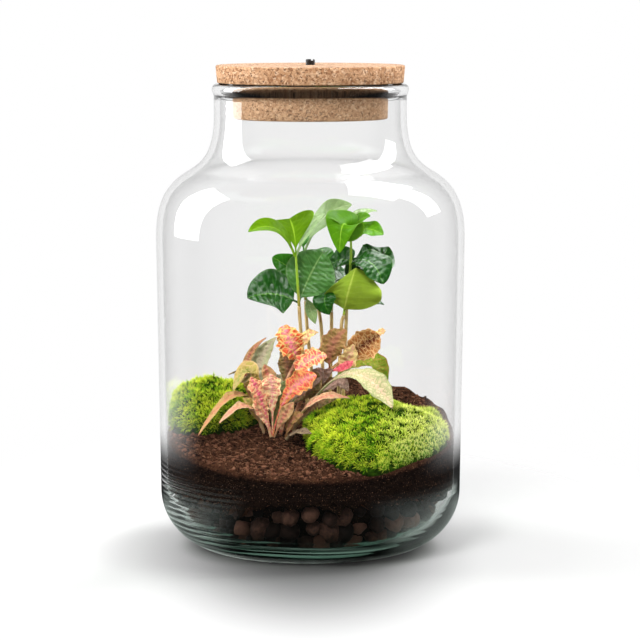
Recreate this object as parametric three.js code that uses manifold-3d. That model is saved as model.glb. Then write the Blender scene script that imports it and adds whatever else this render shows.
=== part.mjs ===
// A planted terrarium: a corked glass jar that holds a layer of clay granules, soil,
// moss cushions, six coffee seedlings and one net-leaf plant.
// Millimetres, +Z up. The origin is the centre of the jar's base, on the surface it stands on.
import * as THREE from 'three';
import { mergeVertices } from 'three/addons/utils/BufferGeometryUtils.js';
import Module from 'manifold-3d';

const wasm = await Module();
wasm.setup();

// Driving dimensions

const GAP = 0.3; // clearance between two pieces that rest on each other
const ROUND = 32; // sides of everything turned about the jar's axis

const JAR = {
  footRadius: 55,
  heelRadius: 92.5,
  heelHeight: 37,
  bodyRadius: 94.7,
  shoulderStart: 192,
  shoulderBend: [74.5, 233.3],
  neckRadius: 59,
  neckFoot: 240,
  parting: 0.05,
  neckStart: 264,
  neckEnd: 279,
  rimRadius: 56.5,
  rimHeight: 286.2,
  wall: 3.8,
  base: 7,
};

const LID = {
  topRadius: 57.8,
  underRadius: 57,
  plugRadius: 47.7,
  plugTaper: 0.4,
  plugBottom: 264.9,
  top: 297.5,
  chamfer: 0.6,
};

const BUTTON = { radius: 2.8, seat: 289, top: 301, collar: 0.5, slotWidth: 1, slotDepth: 0.9, slotAt: 1 };

const DRAIN = { top: 41, set: 4.4, clear: 0.8, rows: 3, perRow: 31, steps: 3 };

const SOIL = { level: 75, slope: 0.21, rings: 9, hole: 14 };

const STEM = { wood: 1.15, green: 1, net: 1.3, coffeeRoot: 1.5, netRoot: 1.9 };

const BLADE = { thickness: 0.8, petiole: 0.75, broad: 4.6 };

const MOSS = [
  {
    name: 'moss_right', centre: [41, -37], radii: [45, 44], height: 25,
    tuft: 1.5, rings: 10, spacing: 6.6,
  },
  {
    name: 'moss_left', centre: [-62, 14], radii: [30, 33], height: 21,
    tuft: 1.5, rings: 8, spacing: 6.6,
  },
  { name: 'moss_tuft', centre: [71, 8], radii: [8, 6], height: 7, tuft: 1.2, rings: 3, spacing: 5 },
];

const COLOUR = {
  glass: 0xdfe9e4,
  cork: 0xc39a68,
  button: 0x1c1c1e,
  soil: 0x3a241b,
  clay: 0x4a3226,
  moss: 0x8fb02a,
  wood: 0xb59a63,
  leaf: 0x5fa51e,
  pink: 0xe58a74,
  salmon: 0xd99a72,
  olive: 0xa79a4a,
  russet: 0x9a6038,
  cream: 0xd3cf9e,
  dry: 0x8a6f50,
};

// Each coffee seedling: where it is rooted, the points that its woody and its green stem pass,
// and its leaves. A leaf's midrib runs from its base over its middle to its tip; its upper side
// faces the way that facing points.
const COFFEE = [
  {
    root: [-1, 5],
    wood: [[-1.5, 5, 84], [-6, 4.5, 134], [-7, 4, 149]],
    green: [[-7, 4, 149.3], [-8, 3, 165], [-9, 3, 181]],
    leaves: [
      {
        spine: [[-7, 4, 151], [-23, 8, 157], [-39, 2, 153]],
        width: 15, facing: [0, -0.8, 0.6], cup: 18, wave: 2, rows: 7,
      },
      {
        spine: [[-7, 5, 151], [-1, 11, 166], [8, 14, 182]],
        width: 16.5, facing: [0.1, -1, 0.3], cup: 14, wave: 1.6, rows: 7, blunt: 0.6,
      },
      {
        spine: [[-9, 3, 179], [-21, -3, 197], [-38, -10, 196]],
        width: 8, facing: [0.1, -0.5, 0.85], cup: 16, belly: 0.55,
      },
      {
        spine: [[-9, 3, 180], [-14, 8, 198], [-32, 14, 204]],
        width: 12.5, facing: [0.3, -0.9, 0.3], cup: 14, belly: 0.45,
      },
      {
        spine: [[-9, 3, 180], [0, 11, 198], [9, 15, 206]],
        width: 6, facing: [-0.3, -0.4, 0.85], cup: 12,
      },
    ],
  },
  {
    root: [3, 14],
    wood: [[3, 14, 84], [-2, 15, 133], [-3, 16, 151]],
    green: [[-3, 16, 151.3], [-4, 17.5, 167], [-4, 18, 182]],
    leaves: [
      {
        spine: [[-4, 18, 181], [9, 22, 203], [26, 22, 212]],
        width: 8.5, facing: [-0.4, -0.5, 0.75], cup: 10,
      },
      { spine: [[-4, 18, 181], [-6, 34, 191], [-8, 50, 192]], width: 9, facing: [0, -0.2, 1], cup: 14 },
      {
        spine: [[-4, 17, 165], [-13, 20, 171], [-24, 20, 177]],
        width: 6, facing: [0, -0.6, 0.8], cup: 10,
      },
      {
        spine: [[-3, 16, 154], [0, 14.5, 146], [3, 13, 137]],
        width: 3.6, facing: [0.1, -1, 0.1], cup: 10,
      },
    ],
  },
  {
    root: [8, 21],
    wood: [[8, 21, 84], [7, 21, 129], [5, 22, 146]],
    green: [[5, 22, 146.3], [5, 23, 153], [5, 24, 162]],
    leaves: [
      {
        spine: [[5, 24, 160], [-7, 38, 165], [-18, 51, 154]],
        width: 13, facing: [0, 0, 1], cup: 14, wave: 1.6, rows: 7,
      },
      {
        spine: [[5, 24, 160], [18, 37, 164], [27, 51, 156]],
        width: 12, facing: [0, 0, 1], cup: 14, wave: 1.6, rows: 7,
      },
      { spine: [[5, 24, 161], [8, 32, 176], [6, 44, 181]], width: 7, facing: [0, -0.7, 0.7], cup: 14 },
    ],
  },
  {
    root: [12, 11],
    wood: [[12, 11, 84], [13, 10, 133], [13, 10, 145]],
    green: [[13, 10, 145.3], [13.5, 11, 153], [14, 13, 163]],
    leaves: [
      {
        spine: [[14, 12, 162], [9, 5, 154], [12, 2, 144]],
        width: 7.5, facing: [-0.3, -1, 0.2], cup: 10, wave: 0.8,
      },
      {
        spine: [[14, 13, 162], [24, 31, 165], [33, 43, 155]],
        width: 9.5, facing: [0, 0, 1], cup: 12, wave: 1.2,
      },
    ],
  },
  {
    root: [17, 3],
    wood: [[17, 3, 84], [19, 4, 134], [20.5, 4, 143]],
    green: [[20.6, 4, 143.3], [20.9, 4, 145.5], [21, 4, 148]],
    leaves: [
      {
        spine: [[21, 4, 146], [24, -3, 161], [28, 4, 173]],
        width: 18.5, facing: [0.1, 1, -0.2], cup: 20, wave: 1.8, rows: 7, blunt: 0.6,
      },
      {
        spine: [[21, 4, 147], [31, 10, 152], [46, 12, 149]],
        width: 9, facing: [0, -0.3, 1], cup: 12, wave: 1,
      },
    ],
  },
  {
    root: [20, 13],
    wood: [[20, 13, 84], [22, 14, 133], [22.5, 14, 148]],
    green: [[22.6, 14, 148.3], [25, 13, 176], [25, 12, 195]],
    leaves: [
      {
        spine: [[25, 13, 174], [36, 6, 176], [45, 1, 163]],
        width: 10.5, facing: [0.2, -0.3, 0.9], cup: 12, wave: 1.4, rows: 7,
      },
      {
        spine: [[25, 13, 176], [40, 20, 175], [49, 26, 184]],
        width: 12, facing: [0, -0.6, 0.8], cup: 12, wave: 1.4, rows: 7,
      },
      {
        spine: [[25, 14, 175], [19, 22, 179], [12, 27, 178]],
        width: 7, facing: [0, -0.5, 0.9], cup: 12, wave: 1,
      },
      {
        spine: [[25, 11, 192], [20, 4, 197], [18, 0, 183]],
        width: 8, facing: [-0.3, -0.9, 0.4], cup: 14,
      },
      {
        spine: [[25, 12, 193], [17, 8, 202], [9, 4, 204]],
        width: 5.5, facing: [0, -0.5, 0.85], cup: 12,
      },
      {
        spine: [[25, 12, 193], [30, 9, 201], [37, 5, 205]],
        width: 6.5, facing: [0, -0.6, 0.8], cup: 14,
      },
      {
        spine: [[25, 12, 190], [34, 8, 198], [45, 4, 195]],
        width: 6.5, facing: [0, -0.5, 0.85], cup: 12,
      },
      {
        spine: [[25, 13, 194], [31, 20, 205], [42, 25, 207]],
        width: 6.5, facing: [-0.2, -0.3, 0.9], cup: 10,
      },
      { spine: [[25, 13, 192], [19, 28, 199], [15, 42, 194]], width: 8, facing: [0, 0, 1], cup: 12 },
    ],
  },
];

// The net-leaf plant: shoots from one crown. Their leaves are narrow at the base and crinkled.
const NET_LEAF = [
  {
    name: 'net_leaf_left_low',
    colour: COLOUR.salmon,
    root: [-28, -21],
    leaves: [
      {
        spine: [[-28, -21, 73], [-38, -28, 91], [-55, -38, 82]],
        width: 5, facing: [0, -0.2, 1], wave: 0.8,
      },
    ],
  },
  {
    name: 'net_leaf_left_high',
    colour: COLOUR.olive,
    root: [-30, -13],
    leaves: [
      {
        spine: [[-30, -13, 75], [-44, -16, 97], [-68, -30, 73]],
        width: 4.5, facing: [0, -0.2, 1], wave: 0.8, rows: 7,
      },
      {
        spine: [[-30, -13, 75], [-37, -14, 109], [-47, -20, 99]],
        width: 8, facing: [-0.6, -0.5, 0.6], wave: 1,
      },
    ],
  },
  {
    name: 'net_leaf_back_left',
    colour: COLOUR.olive,
    root: [-27, -6],
    leaves: [
      {
        spine: [[-27, -6, 77], [-40, -3, 109], [-27, 1, 130]],
        width: 2.6, facing: [0, -1, 0.2], wave: 0.5, rows: 7,
      },
      {
        spine: [[-27, -6, 77], [-32, 0, 108], [-21, 3, 130]],
        width: 7, facing: [-0.5, -0.8, 0.2], wave: 1.2, rows: 7,
      },
      {
        spine: [[-27, -6, 76], [-35, 8, 103], [-52, 20, 104]],
        width: 6, facing: [0, 0, 1], wave: 1, rows: 7,
      },
    ],
  },
  {
    name: 'net_leaf_top',
    colour: COLOUR.pink,
    root: [-20, -12],
    stems: [[[-20, -12, 74], [-17, -13, 98], [-8, -14, 119]]],
    leaves: [
      {
        spine: [[-8, -14, 118], [-12, -19, 129], [-17, -15, 139]],
        width: 8.5, facing: [0.1, -0.9, 0.45], cup: 10, wave: 1.6, rows: 7, petiole: 0.05, blunt: 0.5,
      },
      {
        spine: [[-8, -14, 118], [-3, -10, 131], [5, -7, 134]],
        width: 3.6, facing: [0, -0.6, 0.8], wave: 0.8,
      },
      {
        spine: [[-17, -13, 97], [-14, -11, 114], [-19, -8, 122]],
        width: 6, facing: [0, -0.9, 0.3], wave: 1,
      },
    ],
  },
  {
    name: 'net_leaf_heart',
    colour: COLOUR.pink,
    root: [-18, -20],
    stems: [[[-18, -20, 73], [-15, -20, 92], [-9, -20, 110]]],
    leaves: [
      {
        spine: [[-9, -20, 109], [-2, -26, 119], [10, -25, 122]],
        width: 7, facing: [0, -0.7, 0.7], cup: 8, wave: 1.4, rows: 7, petiole: 0.05, blunt: 0.5,
      },
      {
        spine: [[-15, -20, 90], [0, -22, 106], [8, -21, 114]],
        width: 4.5, facing: [0.2, -0.9, 0.4], wave: 0.8,
      },
    ],
  },
  {
    name: 'net_leaf_right_top',
    colour: COLOUR.russet,
    root: [-13, -14],
    stems: [[[-13, -14, 74], [-4, -15, 96], [12, -13, 113]]],
    leaves: [
      {
        spine: [[12, -13, 112], [13, -15, 126], [22, -8, 136]],
        width: 7.5, facing: [0, -0.9, 0.4], cup: 10, wave: 1.4, rows: 7, blunt: 0.6,
      },
      {
        spine: [[12, -13, 111], [28, -20, 126], [43, -21, 130]],
        width: 8.5, facing: [0.1, -0.8, 0.5], cup: 24, wave: 1.6, rows: 7, petiole: 0.2, blunt: 0.5,
      },
      {
        spine: [[12, -12, 112], [36, -10, 130], [46, -10, 135]],
        width: 3, facing: [0, -0.6, 0.8], wave: 0.6, petiole: 0.5,
      },
      {
        spine: [[11, -14, 111], [20, -25, 115], [26, -27, 119]],
        width: 3, facing: [0, -0.8, 0.5], wave: 0.5,
      },
      {
        spine: [[-4, -15, 95], [5, -18, 106], [14, -19, 113]],
        width: 4, facing: [0, -0.9, 0.4], wave: 0.7,
      },
    ],
  },
  {
    name: 'net_leaf_right',
    colour: COLOUR.leaf,
    root: [-10, -6],
    leaves: [
      {
        spine: [[-10, -6, 76], [28, -5, 115], [47, -3, 101]],
        width: 6.5, facing: [0, -0.35, 0.95], wave: 0.8, rows: 7, petiole: 0.3,
      },
    ],
  },
  {
    name: 'net_leaf_right_low',
    colour: COLOUR.cream,
    root: [-11, -21],
    leaves: [
      {
        spine: [[-11, -21, 74], [21, -30, 111], [49, -50, 93]],
        width: 6.5, facing: [0, -0.4, 0.9], wave: 0.8, rows: 7, petiole: 0.3, belly: 0.6,
      },
      {
        spine: [[-11, -21, 74], [2, -33, 95], [24, -33, 97]],
        width: 4.2, facing: [0, -0.4, 0.9], wave: 0.6, petiole: 0.25,
      },
      {
        spine: [[-11, -21, 75], [11, -22, 102], [23, -24, 100]],
        width: 5, facing: [0, -0.5, 0.85], wave: 1, petiole: 0.4,
      },
    ],
  },
  {
    name: 'net_leaf_front',
    colour: COLOUR.pink,
    root: [-23, -27],
    leaves: [
      {
        spine: [[-23, -27, 72], [-23, -32, 96], [-24, -32, 112]],
        width: 6, facing: [0, -1, 0.3], wave: 1.4, rows: 7, petiole: 0.45, blunt: 0.5,
      },
      {
        spine: [[-23, -27, 72], [-29, -33, 94], [-36, -33, 110]],
        width: 4.2, facing: [0.3, -1, 0.2], wave: 0.8, petiole: 0.3,
      },
      {
        spine: [[-23, -27, 72], [-13, -34, 100], [4, -32, 111]],
        width: 7, facing: [0.1, -0.9, 0.4], wave: 1.4, rows: 7, petiole: 0.45, blunt: 0.5,
      },
    ],
  },
  {
    name: 'net_leaf_dry',
    colour: COLOUR.dry,
    root: [-15, -29],
    leaves: [
      {
        spine: [[-15, -29, 71], [-11, -34, 83], [-4, -40, 88]],
        width: 4.4, facing: [-0.5, -0.7, 0.6], wave: 0.6,
      },
      {
        spine: [[-15, -29, 71], [-8, -38, 77], [1, -44, 77]],
        width: 3.6, facing: [0, -0.5, 0.9], wave: 0.6,
      },
    ],
  },
  {
    name: 'net_leaf_back',
    colour: COLOUR.olive,
    root: [-19, 2],
    leaves: [
      {
        spine: [[-19, 2, 77], [-20, 15, 102], [-22, 31, 97]],
        width: 6, facing: [0, 0, 1], wave: 1, petiole: 0.3,
      },
      {
        spine: [[-19, 2, 77], [-11, 5, 104], [-16, 17, 118]],
        width: 4.5, facing: [0, 0.5, 0.8], wave: 0.8, petiole: 0.3,
      },
    ],
  },
];

// Solids from three.js geometry, and back

function solidFrom(geometry) {
  geometry.deleteAttribute('normal');
  geometry.deleteAttribute('uv');
  const merged = mergeVertices(geometry, 1e-4);
  const corners = merged.index.array;
  const triangles = [];
  for (let i = 0; i < corners.length; i += 3) {
    const [a, b, c] = [corners[i], corners[i + 1], corners[i + 2]];
    if (a !== b && b !== c && c !== a) triangles.push(a, b, c);
  }
  return new wasm.Manifold(new wasm.Mesh({
    numProp: 3,
    vertProperties: Float32Array.from(merged.attributes.position.array),
    triVerts: Uint32Array.from(triangles),
  }));
}

function geometryFrom(solid) {
  const { vertProperties, triVerts } = solid.getMesh();
  const geometry = new THREE.BufferGeometry();
  geometry.setAttribute('position', new THREE.BufferAttribute(Float32Array.from(vertProperties), 3));
  geometry.setIndex(new THREE.BufferAttribute(Uint32Array.from(triVerts), 1));
  geometry.computeVertexNormals();
  return geometry;
}

function solidFromFaces(places, triangles) {
  const geometry = new THREE.BufferGeometry();
  geometry.setAttribute('position', new THREE.Float32BufferAttribute(places.flat(), 3));
  geometry.setIndex(triangles.flat());
  return solidFrom(geometry);
}

function joined(solids) {
  return solids.reduce((whole, solid) => whole.add(solid));
}

// The largest body of a solid: a scrap that a cut left loose is dropped
function mainBody(solid) {
  return solid.decompose().sort((a, b) => b.volume() - a.volume())[0];
}

// A solid turned about Z from [radius, height] points that start and end on the axis, or that
// come back to the first one
function turned(outline, sides = ROUND) {
  const points = outline.map(([radius, height]) => new THREE.Vector2(radius, height));
  return solidFrom(new THREE.LatheGeometry(points, sides).rotateX(Math.PI / 2));
}

// A straight round post that stands on Z = bottom
function post([x, y], bottom, top, radius, sides = 6) {
  const cylinder = new THREE.CylinderGeometry(radius, radius, top - bottom, sides);
  return solidFrom(cylinder.rotateX(Math.PI / 2).translate(x, y, (top + bottom) / 2));
}

// The triangles between two rings of points that are evenly spaced about an axis. A ring's turn
// is the share of a step that its first point is turned by. A ring of one point is a pole.
function band(low, lowFirst, high, highFirst) {
  const [lowCount, highCount] = [low.points.length, high.points.length];
  const triangles = [];
  let i = lowCount > 1 ? 0 : 1;
  let j = highCount > 1 ? 0 : 1;
  while (i < lowCount || j < highCount) {
    const here = lowFirst + (i % lowCount);
    const above = highFirst + (j % highCount);
    const lowNext = (i + 1 + low.turn) / lowCount;
    const highNext = (j + 1 + high.turn) / highCount;
    if (j >= highCount || (i < lowCount && lowNext <= highNext)) {
      i += 1;
      triangles.push([here, lowFirst + (i % lowCount), above]);
    } else {
      j += 1;
      triangles.push([here, highFirst + (j % highCount), above]);
    }
  }
  return triangles;
}

// A closed skin over rings of points, from the pole under them to the pole on top
function skinned(rings) {
  const triangles = [];
  let first = 0;
  rings.slice(0, -1).forEach((ring, k) => {
    const next = first + ring.points.length;
    triangles.push(...band(ring, first, rings[k + 1], next));
    first = next;
  });
  return solidFromFaces(rings.flatMap((ring) => ring.points), triangles);
}

// One ring: a point for each step about the axis, as place(angle, step) gives it
function ring(count, turn, place) {
  const points = Array.from({ length: count }, (_, k) => place((2 * Math.PI * (k + turn)) / count, k));
  return { points, turn };
}

// Jar

function curvePoints(path, divisions) {
  return path.getPoints(divisions).map((point) => [point.x, point.y]);
}

// Outside of the jar from the centre of its base to the foot of its rim
function jarOutside() {
  const round = 0.5523; // handle length of a quarter circle
  const [bendRadius, bendHeight] = JAR.shoulderBend;
  const path = new THREE.Path();
  path.moveTo(0, 0);
  path.lineTo(JAR.footRadius, 0);
  path.bezierCurveTo(
    JAR.footRadius + round * (JAR.heelRadius - JAR.footRadius), 0,
    JAR.heelRadius, (1 - round) * JAR.heelHeight,
    JAR.heelRadius, JAR.heelHeight,
  );
  path.lineTo(JAR.bodyRadius, JAR.shoulderStart);
  path.bezierCurveTo(
    JAR.bodyRadius, JAR.shoulderStart + 22,
    bendRadius + 14.5, bendHeight - 8.3,
    bendRadius, bendHeight,
  );
  path.bezierCurveTo(
    bendRadius - 7.8, bendHeight + 4.5,
    JAR.neckRadius + 1, bendHeight + 10.2,
    JAR.neckRadius, JAR.neckStart,
  );
  path.lineTo(JAR.neckRadius, JAR.neckEnd);
  return curvePoints(path, 4);
}

// The inside of the jar, drawn in square from its outside by the wall and a further clearance.
// The wall thickens towards the base.
function jarInside(clearance) {
  const outside = jarOutside();
  return outside.map(([radius, height], i) => {
    const before = outside[Math.max(i - 1, 0)];
    const after = outside[Math.min(i + 1, outside.length - 1)];
    const flat = radius <= JAR.footRadius && height === 0;
    const run = flat ? 1 : after[0] - before[0];
    const rise = flat ? 0 : after[1] - before[1];
    const length = Math.hypot(run, rise);
    const low = Math.max(0, 1 - height / JAR.heelHeight);
    const depth = JAR.wall + (JAR.base - JAR.wall) * low + clearance;
    return [Math.max(radius - (rise / length) * depth, 0), height + (run / length) * depth];
  });
}

function rimOutline() {
  const inner = JAR.neckRadius - JAR.wall;
  const path = new THREE.Path();
  path.moveTo(JAR.neckRadius, JAR.neckEnd);
  path.bezierCurveTo(
    JAR.neckRadius + 1.8, JAR.neckEnd + 2.5,
    JAR.neckRadius + 2.2, JAR.rimHeight,
    JAR.rimRadius, JAR.rimHeight,
  );
  path.bezierCurveTo(inner, JAR.rimHeight, inner, JAR.rimHeight - 3, inner, JAR.neckEnd);
  return curvePoints(path, 4).slice(1, -1);
}

// The jar is one piece of glass. Its neck is a solid of its own, parted from the body by a
// hairline square to the wall, where the shoulder turns up into the neck.
function glassBody() {
  const outside = jarOutside();
  const parting = neckFoot(outside);
  const inside = jarInside(0).slice(0, parting + 1);
  return turned([...outside.slice(0, parting + 1), ...inside.reverse()]);
}

function glassNeck() {
  const outside = jarOutside();
  const parting = neckFoot(outside);
  const raise = ([radius, height], k) => [radius, k ? height : height + JAR.parting];
  const outer = outside.slice(parting).map(raise);
  const inner = jarInside(0).slice(parting).map(raise);
  return turned([...outer, ...rimOutline(), ...inner.reverse(), outer[0]]);
}

function neckFoot(outside) {
  return outside.findIndex(([, height]) => height > JAR.neckFoot);
}

// The space in the jar, kept off the glass by a clearance
function jarSpace(clearance) {
  return turned([...jarInside(clearance), [0, JAR.neckEnd]]);
}

// Lid

function corkLid() {
  const under = JAR.rimHeight + GAP;
  const { topRadius, underRadius, plugRadius, plugTaper, plugBottom, top, chamfer } = LID;
  const pit = BUTTON.radius + GAP;
  return turned([
    [0, plugBottom],
    [plugRadius - plugTaper - chamfer, plugBottom],
    [plugRadius - plugTaper, plugBottom + chamfer],
    [plugRadius, under],
    [underRadius - chamfer, under],
    [underRadius, under + chamfer],
    [topRadius, top - chamfer],
    [topRadius - chamfer, top],
    [pit, top],
    [pit, BUTTON.seat],
    [0, BUTTON.seat],
  ]);
}

function lidButton() {
  const { radius, seat, top, collar, slotWidth, slotDepth, slotAt } = BUTTON;
  const stub = turned([
    [0, seat + GAP],
    [radius, seat + GAP],
    [radius, top - collar],
    [radius - collar, top],
    [0, top],
  ], 16);
  const slot = new THREE.BoxGeometry(slotWidth, 4 * radius, 2 * slotDepth);
  return stub.subtract(solidFrom(slot.translate(slotAt, 0, top)));
}

// Ground

// Soil surface: it rises to the back, with lumps
function soilHeight(x, y) {
  const lumps = 1.1 * Math.sin(x / 9 + 1) * Math.cos(y / 11) + 0.7 * Math.sin(x / 4.6 - y / 5.3);
  return SOIL.level + SOIL.slope * y + lumps;
}

// Ground between a flat underside and the soil surface, raised by a clearance
function ground(bottom, clearance) {
  const rings = [{ points: [[0, 0, bottom]], turn: 0 }];
  const reach = JAR.bodyRadius;
  rings.push(ring(ROUND, 0, (angle) => [reach * Math.cos(angle), reach * Math.sin(angle), bottom]));
  for (let k = SOIL.rings; k > 0; k -= 1) {
    const radius = (reach * k) / SOIL.rings;
    rings.push(ring(Math.max(Math.round((ROUND * k) / SOIL.rings), 6), k % 2 ? 0 : 0.5, (angle) => {
      const [x, y] = [radius * Math.cos(angle), radius * Math.sin(angle)];
      return [x, y, soilHeight(x, y) + clearance];
    }));
  }
  rings.push({ points: [[0, 0, soilHeight(0, 0) + clearance]], turn: 0 });
  return skinned(rings);
}

function soil(roots) {
  const body = ground(DRAIN.top + GAP, 0).intersect(jarSpace(GAP));
  const holes = roots.map(({ at: [x, y], radius }) => {
    const depth = soilHeight(x, y) - SOIL.hole;
    return post([x, y], depth - GAP, JAR.shoulderStart, radius + GAP, 8);
  });
  return mainBody(body.subtract(joined(holes)));
}

// How far from the axis a thing stands at a height when it is kept off the glass by a clearance
function radiusInside(height, clearance) {
  const inside = jarInside(clearance);
  const k = Math.max(inside.findIndex(([, level]) => level > height), 1);
  const [low, high] = [inside[k - 1], inside[k]];
  return low[0] + ((high[0] - low[0]) * (height - low[1])) / (high[1] - low[1]);
}

// Clay granules: a packed layer whose side stands out in rows of granules against the glass.
// A granule is a cosine bump, and each row is turned by half a granule from the row under it.
function clayGranules() {
  const { top, set, clear, rows, perRow, steps } = DRAIN;
  const bottom = JAR.base + clear;
  const skin = [];
  for (let k = 0; k <= rows * steps; k += 1) {
    const level = k / steps;
    const height = bottom + ((top - bottom) * level) / rows;
    const shift = 0.5 * Math.floor(level);
    skin.push(ring(perRow * steps, 0, (angle, step) => {
      const bump = Math.abs(Math.cos(Math.PI * (step / steps + shift)) * Math.sin(Math.PI * level));
      const reach = radiusInside(height, clear) - set * (1 - bump);
      return [reach * Math.cos(angle), reach * Math.sin(angle), height];
    }));
  }
  const under = { points: [[0, 0, bottom]], turn: 0 };
  const over = { points: [[0, 0, top]], turn: 0 };
  return skinned([under, ...skin, over]);
}

// A moss cushion: a domed body whose skin stands up in tufts, at every other point of its rings
function mossCushion({ centre, radii, height, tuft, rings, spacing }) {
  const [cx, cy] = centre;
  const edge = (angle) => 1 + 0.05 * Math.sin(2 * angle + cx) + 0.04 * Math.sin(3 * angle + cy);
  const place = (bend, angle, lift) => {
    const out = Math.sin(bend) ** 0.8;
    const x = cx + Math.cos(angle) * edge(angle) * (radii[0] * out + lift * Math.sin(bend));
    const y = cy + Math.sin(angle) * edge(angle) * (radii[1] * out + lift * Math.sin(bend));
    const rise = height * Math.cos(bend) ** 0.75 + lift * Math.cos(bend);
    return [x, y, SOIL.level + SOIL.slope * y + rise];
  };
  const skin = [];
  for (let k = rings; k > 0; k -= 1) {
    const bend = (Math.PI / 2) * (k / rings);
    const round = 2 * Math.PI * Math.max(...radii) * Math.sin(bend) ** 0.8;
    const count = 2 * Math.max(Math.round(round / spacing / 2), 3);
    skin.push(ring(count, 0, (angle, step) => place(bend, angle, (step + k) % 2 ? tuft : -tuft)));
  }
  const foot = skin[0].points.map(([x, y, z]) => [x, y, z - height]);
  const under = { points: [[cx, cy, SOIL.level + SOIL.slope * cy - height]], turn: 0 };
  const crown = { points: [place(0, 0, tuft)], turn: 0 };
  return skinned([under, { points: foot, turn: 0 }, ...skin, crown]);
}

// Plants

// A leaf blade. Its midrib is the parabola through the base, the middle and the tip. Across, it
// rises from the midrib on both sides by the cup angle, and its edges swing up and down in waves.
// Its half width is a petiole's at first, then a sine arch whose widest place is at belly.
function leafBlade(leaf, grow = 0) {
  const { spine, width, facing } = leaf;
  const { petiole = 0.12, belly = 0.5, blunt = 0.85, cup = 12, wave = 0, waves = 2, rows = 5 } = leaf;
  const [base, middle, tip] = spine.map((place) => new THREE.Vector3(...place));
  const ends = base.clone().add(tip).multiplyScalar(0.5);
  const midrib = new THREE.QuadraticBezierCurve3(base, middle.clone().multiplyScalar(2).sub(ends), tip);
  const skew = Math.log(0.5) / Math.log(belly);
  const lean = THREE.MathUtils.degToRad(cup);
  const columns = width < BLADE.broad ? 2 : 4;
  const sheets = [[], []];
  for (let i = 0; i <= rows; i += 1) {
    const along = i / rows;
    const share = Math.max(0, (along - petiole) / (1 - petiole));
    const arch = Math.max(Math.sin(Math.PI * share ** skew), 0) ** blunt;
    const half = Math.max(width * arch, BLADE.petiole) + grow;
    const point = midrib.getPoint(along);
    const ahead = midrib.getTangent(along);
    const side = ahead.clone().cross(new THREE.Vector3(...facing)).normalize();
    const up = side.clone().cross(ahead);
    for (let j = 0; j <= columns; j += 1) {
      const across = (2 * j) / columns - 1;
      const turn = 2 * Math.PI * waves * share + Math.sign(across);
      const swing = Math.sin(turn) * wave * arch * across ** 2;
      const rise = Math.abs(across) * half * Math.sin(lean) + swing;
      const place = point.clone()
        .addScaledVector(side, across * half * Math.cos(lean))
        .addScaledVector(up, rise);
      sheets.forEach((sheet, k) => {
        const offset = (k ? -1 : 1) * (BLADE.thickness / 2 + grow);
        sheet.push(place.clone().addScaledVector(up, offset).toArray());
      });
    }
  }
  return solidFromFaces(sheets.flat(), sheetFaces(rows, columns));
}

// The triangles of a thin body whose two faces are grids alike, with a strip round their edge
function sheetFaces(rows, columns) {
  const under = (rows + 1) * (columns + 1);
  const at = (i, j) => i * (columns + 1) + j;
  const faces = [];
  for (let i = 0; i < rows; i += 1) {
    for (let j = 0; j < columns; j += 1) {
      const [a, b, c, d] = [at(i, j), at(i, j + 1), at(i + 1, j + 1), at(i + 1, j)];
      faces.push([a, b, c], [a, c, d]);
      faces.push([under + a, under + c, under + b], [under + a, under + d, under + c]);
    }
  }
  const edge = [];
  for (let j = 0; j < columns; j += 1) edge.push(at(0, j));
  for (let i = 0; i < rows; i += 1) edge.push(at(i, columns));
  for (let j = columns; j > 0; j -= 1) edge.push(at(rows, j));
  for (let i = rows; i > 0; i -= 1) edge.push(at(i, 0));
  edge.forEach((a, k) => {
    const b = edge[(k + 1) % edge.length];
    faces.push([b, a, under + a], [b, under + a, under + b]);
  });
  return faces;
}

function stem(points, radius) {
  const sides = 6;
  const corners = Array.from({ length: sides }, (_, k) => {
    const angle = (2 * Math.PI * k) / sides;
    return new THREE.Vector2(radius * Math.cos(angle), radius * Math.sin(angle));
  });
  const path = new THREE.CatmullRomCurve3(points.map((point) => new THREE.Vector3(...point)));
  return solidFrom(new THREE.ExtrudeGeometry(new THREE.Shape(corners), {
    steps: 4,
    bevelEnabled: false,
    extrudePath: path,
  }));
}

// The part of a stem that stands upright in its hole in the soil
function rootPost([x, y], radius) {
  const level = soilHeight(x, y);
  return post([x, y], level - SOIL.hole, level + 3, radius);
}

// Everything that grows from the soil, in the order that decides which gives way where two
// would cross: a later piece is cut clear of each earlier one
function plantPieces() {
  const stems = COFFEE.map(({ root, wood }, k) => ({
    name: `coffee_${k + 1}_stem`,
    colour: COLOUR.wood,
    post: (grow) => rootPost(root, STEM.coffeeRoot + grow),
    growth: (grow) => stem([[...root, soilHeight(...root) + 1], ...wood], STEM.wood + grow),
  }));
  const shoots = COFFEE.map(({ green, leaves }, k) => ({
    name: `coffee_${k + 1}_shoot`,
    colour: COLOUR.leaf,
    growth: (grow) => joined([
      stem(green, STEM.green + grow),
      ...leaves.map((leaf) => leafBlade(leaf, grow)),
    ]),
  }));
  const netLeaf = NET_LEAF.map(({ name, root, stems: branches = [], leaves, colour }) => ({
    name,
    colour,
    post: (grow) => rootPost(root, STEM.netRoot + grow),
    growth: (grow) => joined([
      ...branches.map((points) => stem(points, STEM.net + grow)),
      ...leaves.map((leaf) => leafBlade(leaf, grow)),
    ]),
  }));
  return [...stems, ...shoots, ...netLeaf];
}

const group = new THREE.Group();

function show(name, solid, color, roughness, more = {}) {
  const mesh = new THREE.Mesh(
    geometryFrom(solid),
    new THREE.MeshStandardMaterial({ color, roughness, metalness: 0, ...more }),
  );
  mesh.name = name;
  group.add(mesh);
}

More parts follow.
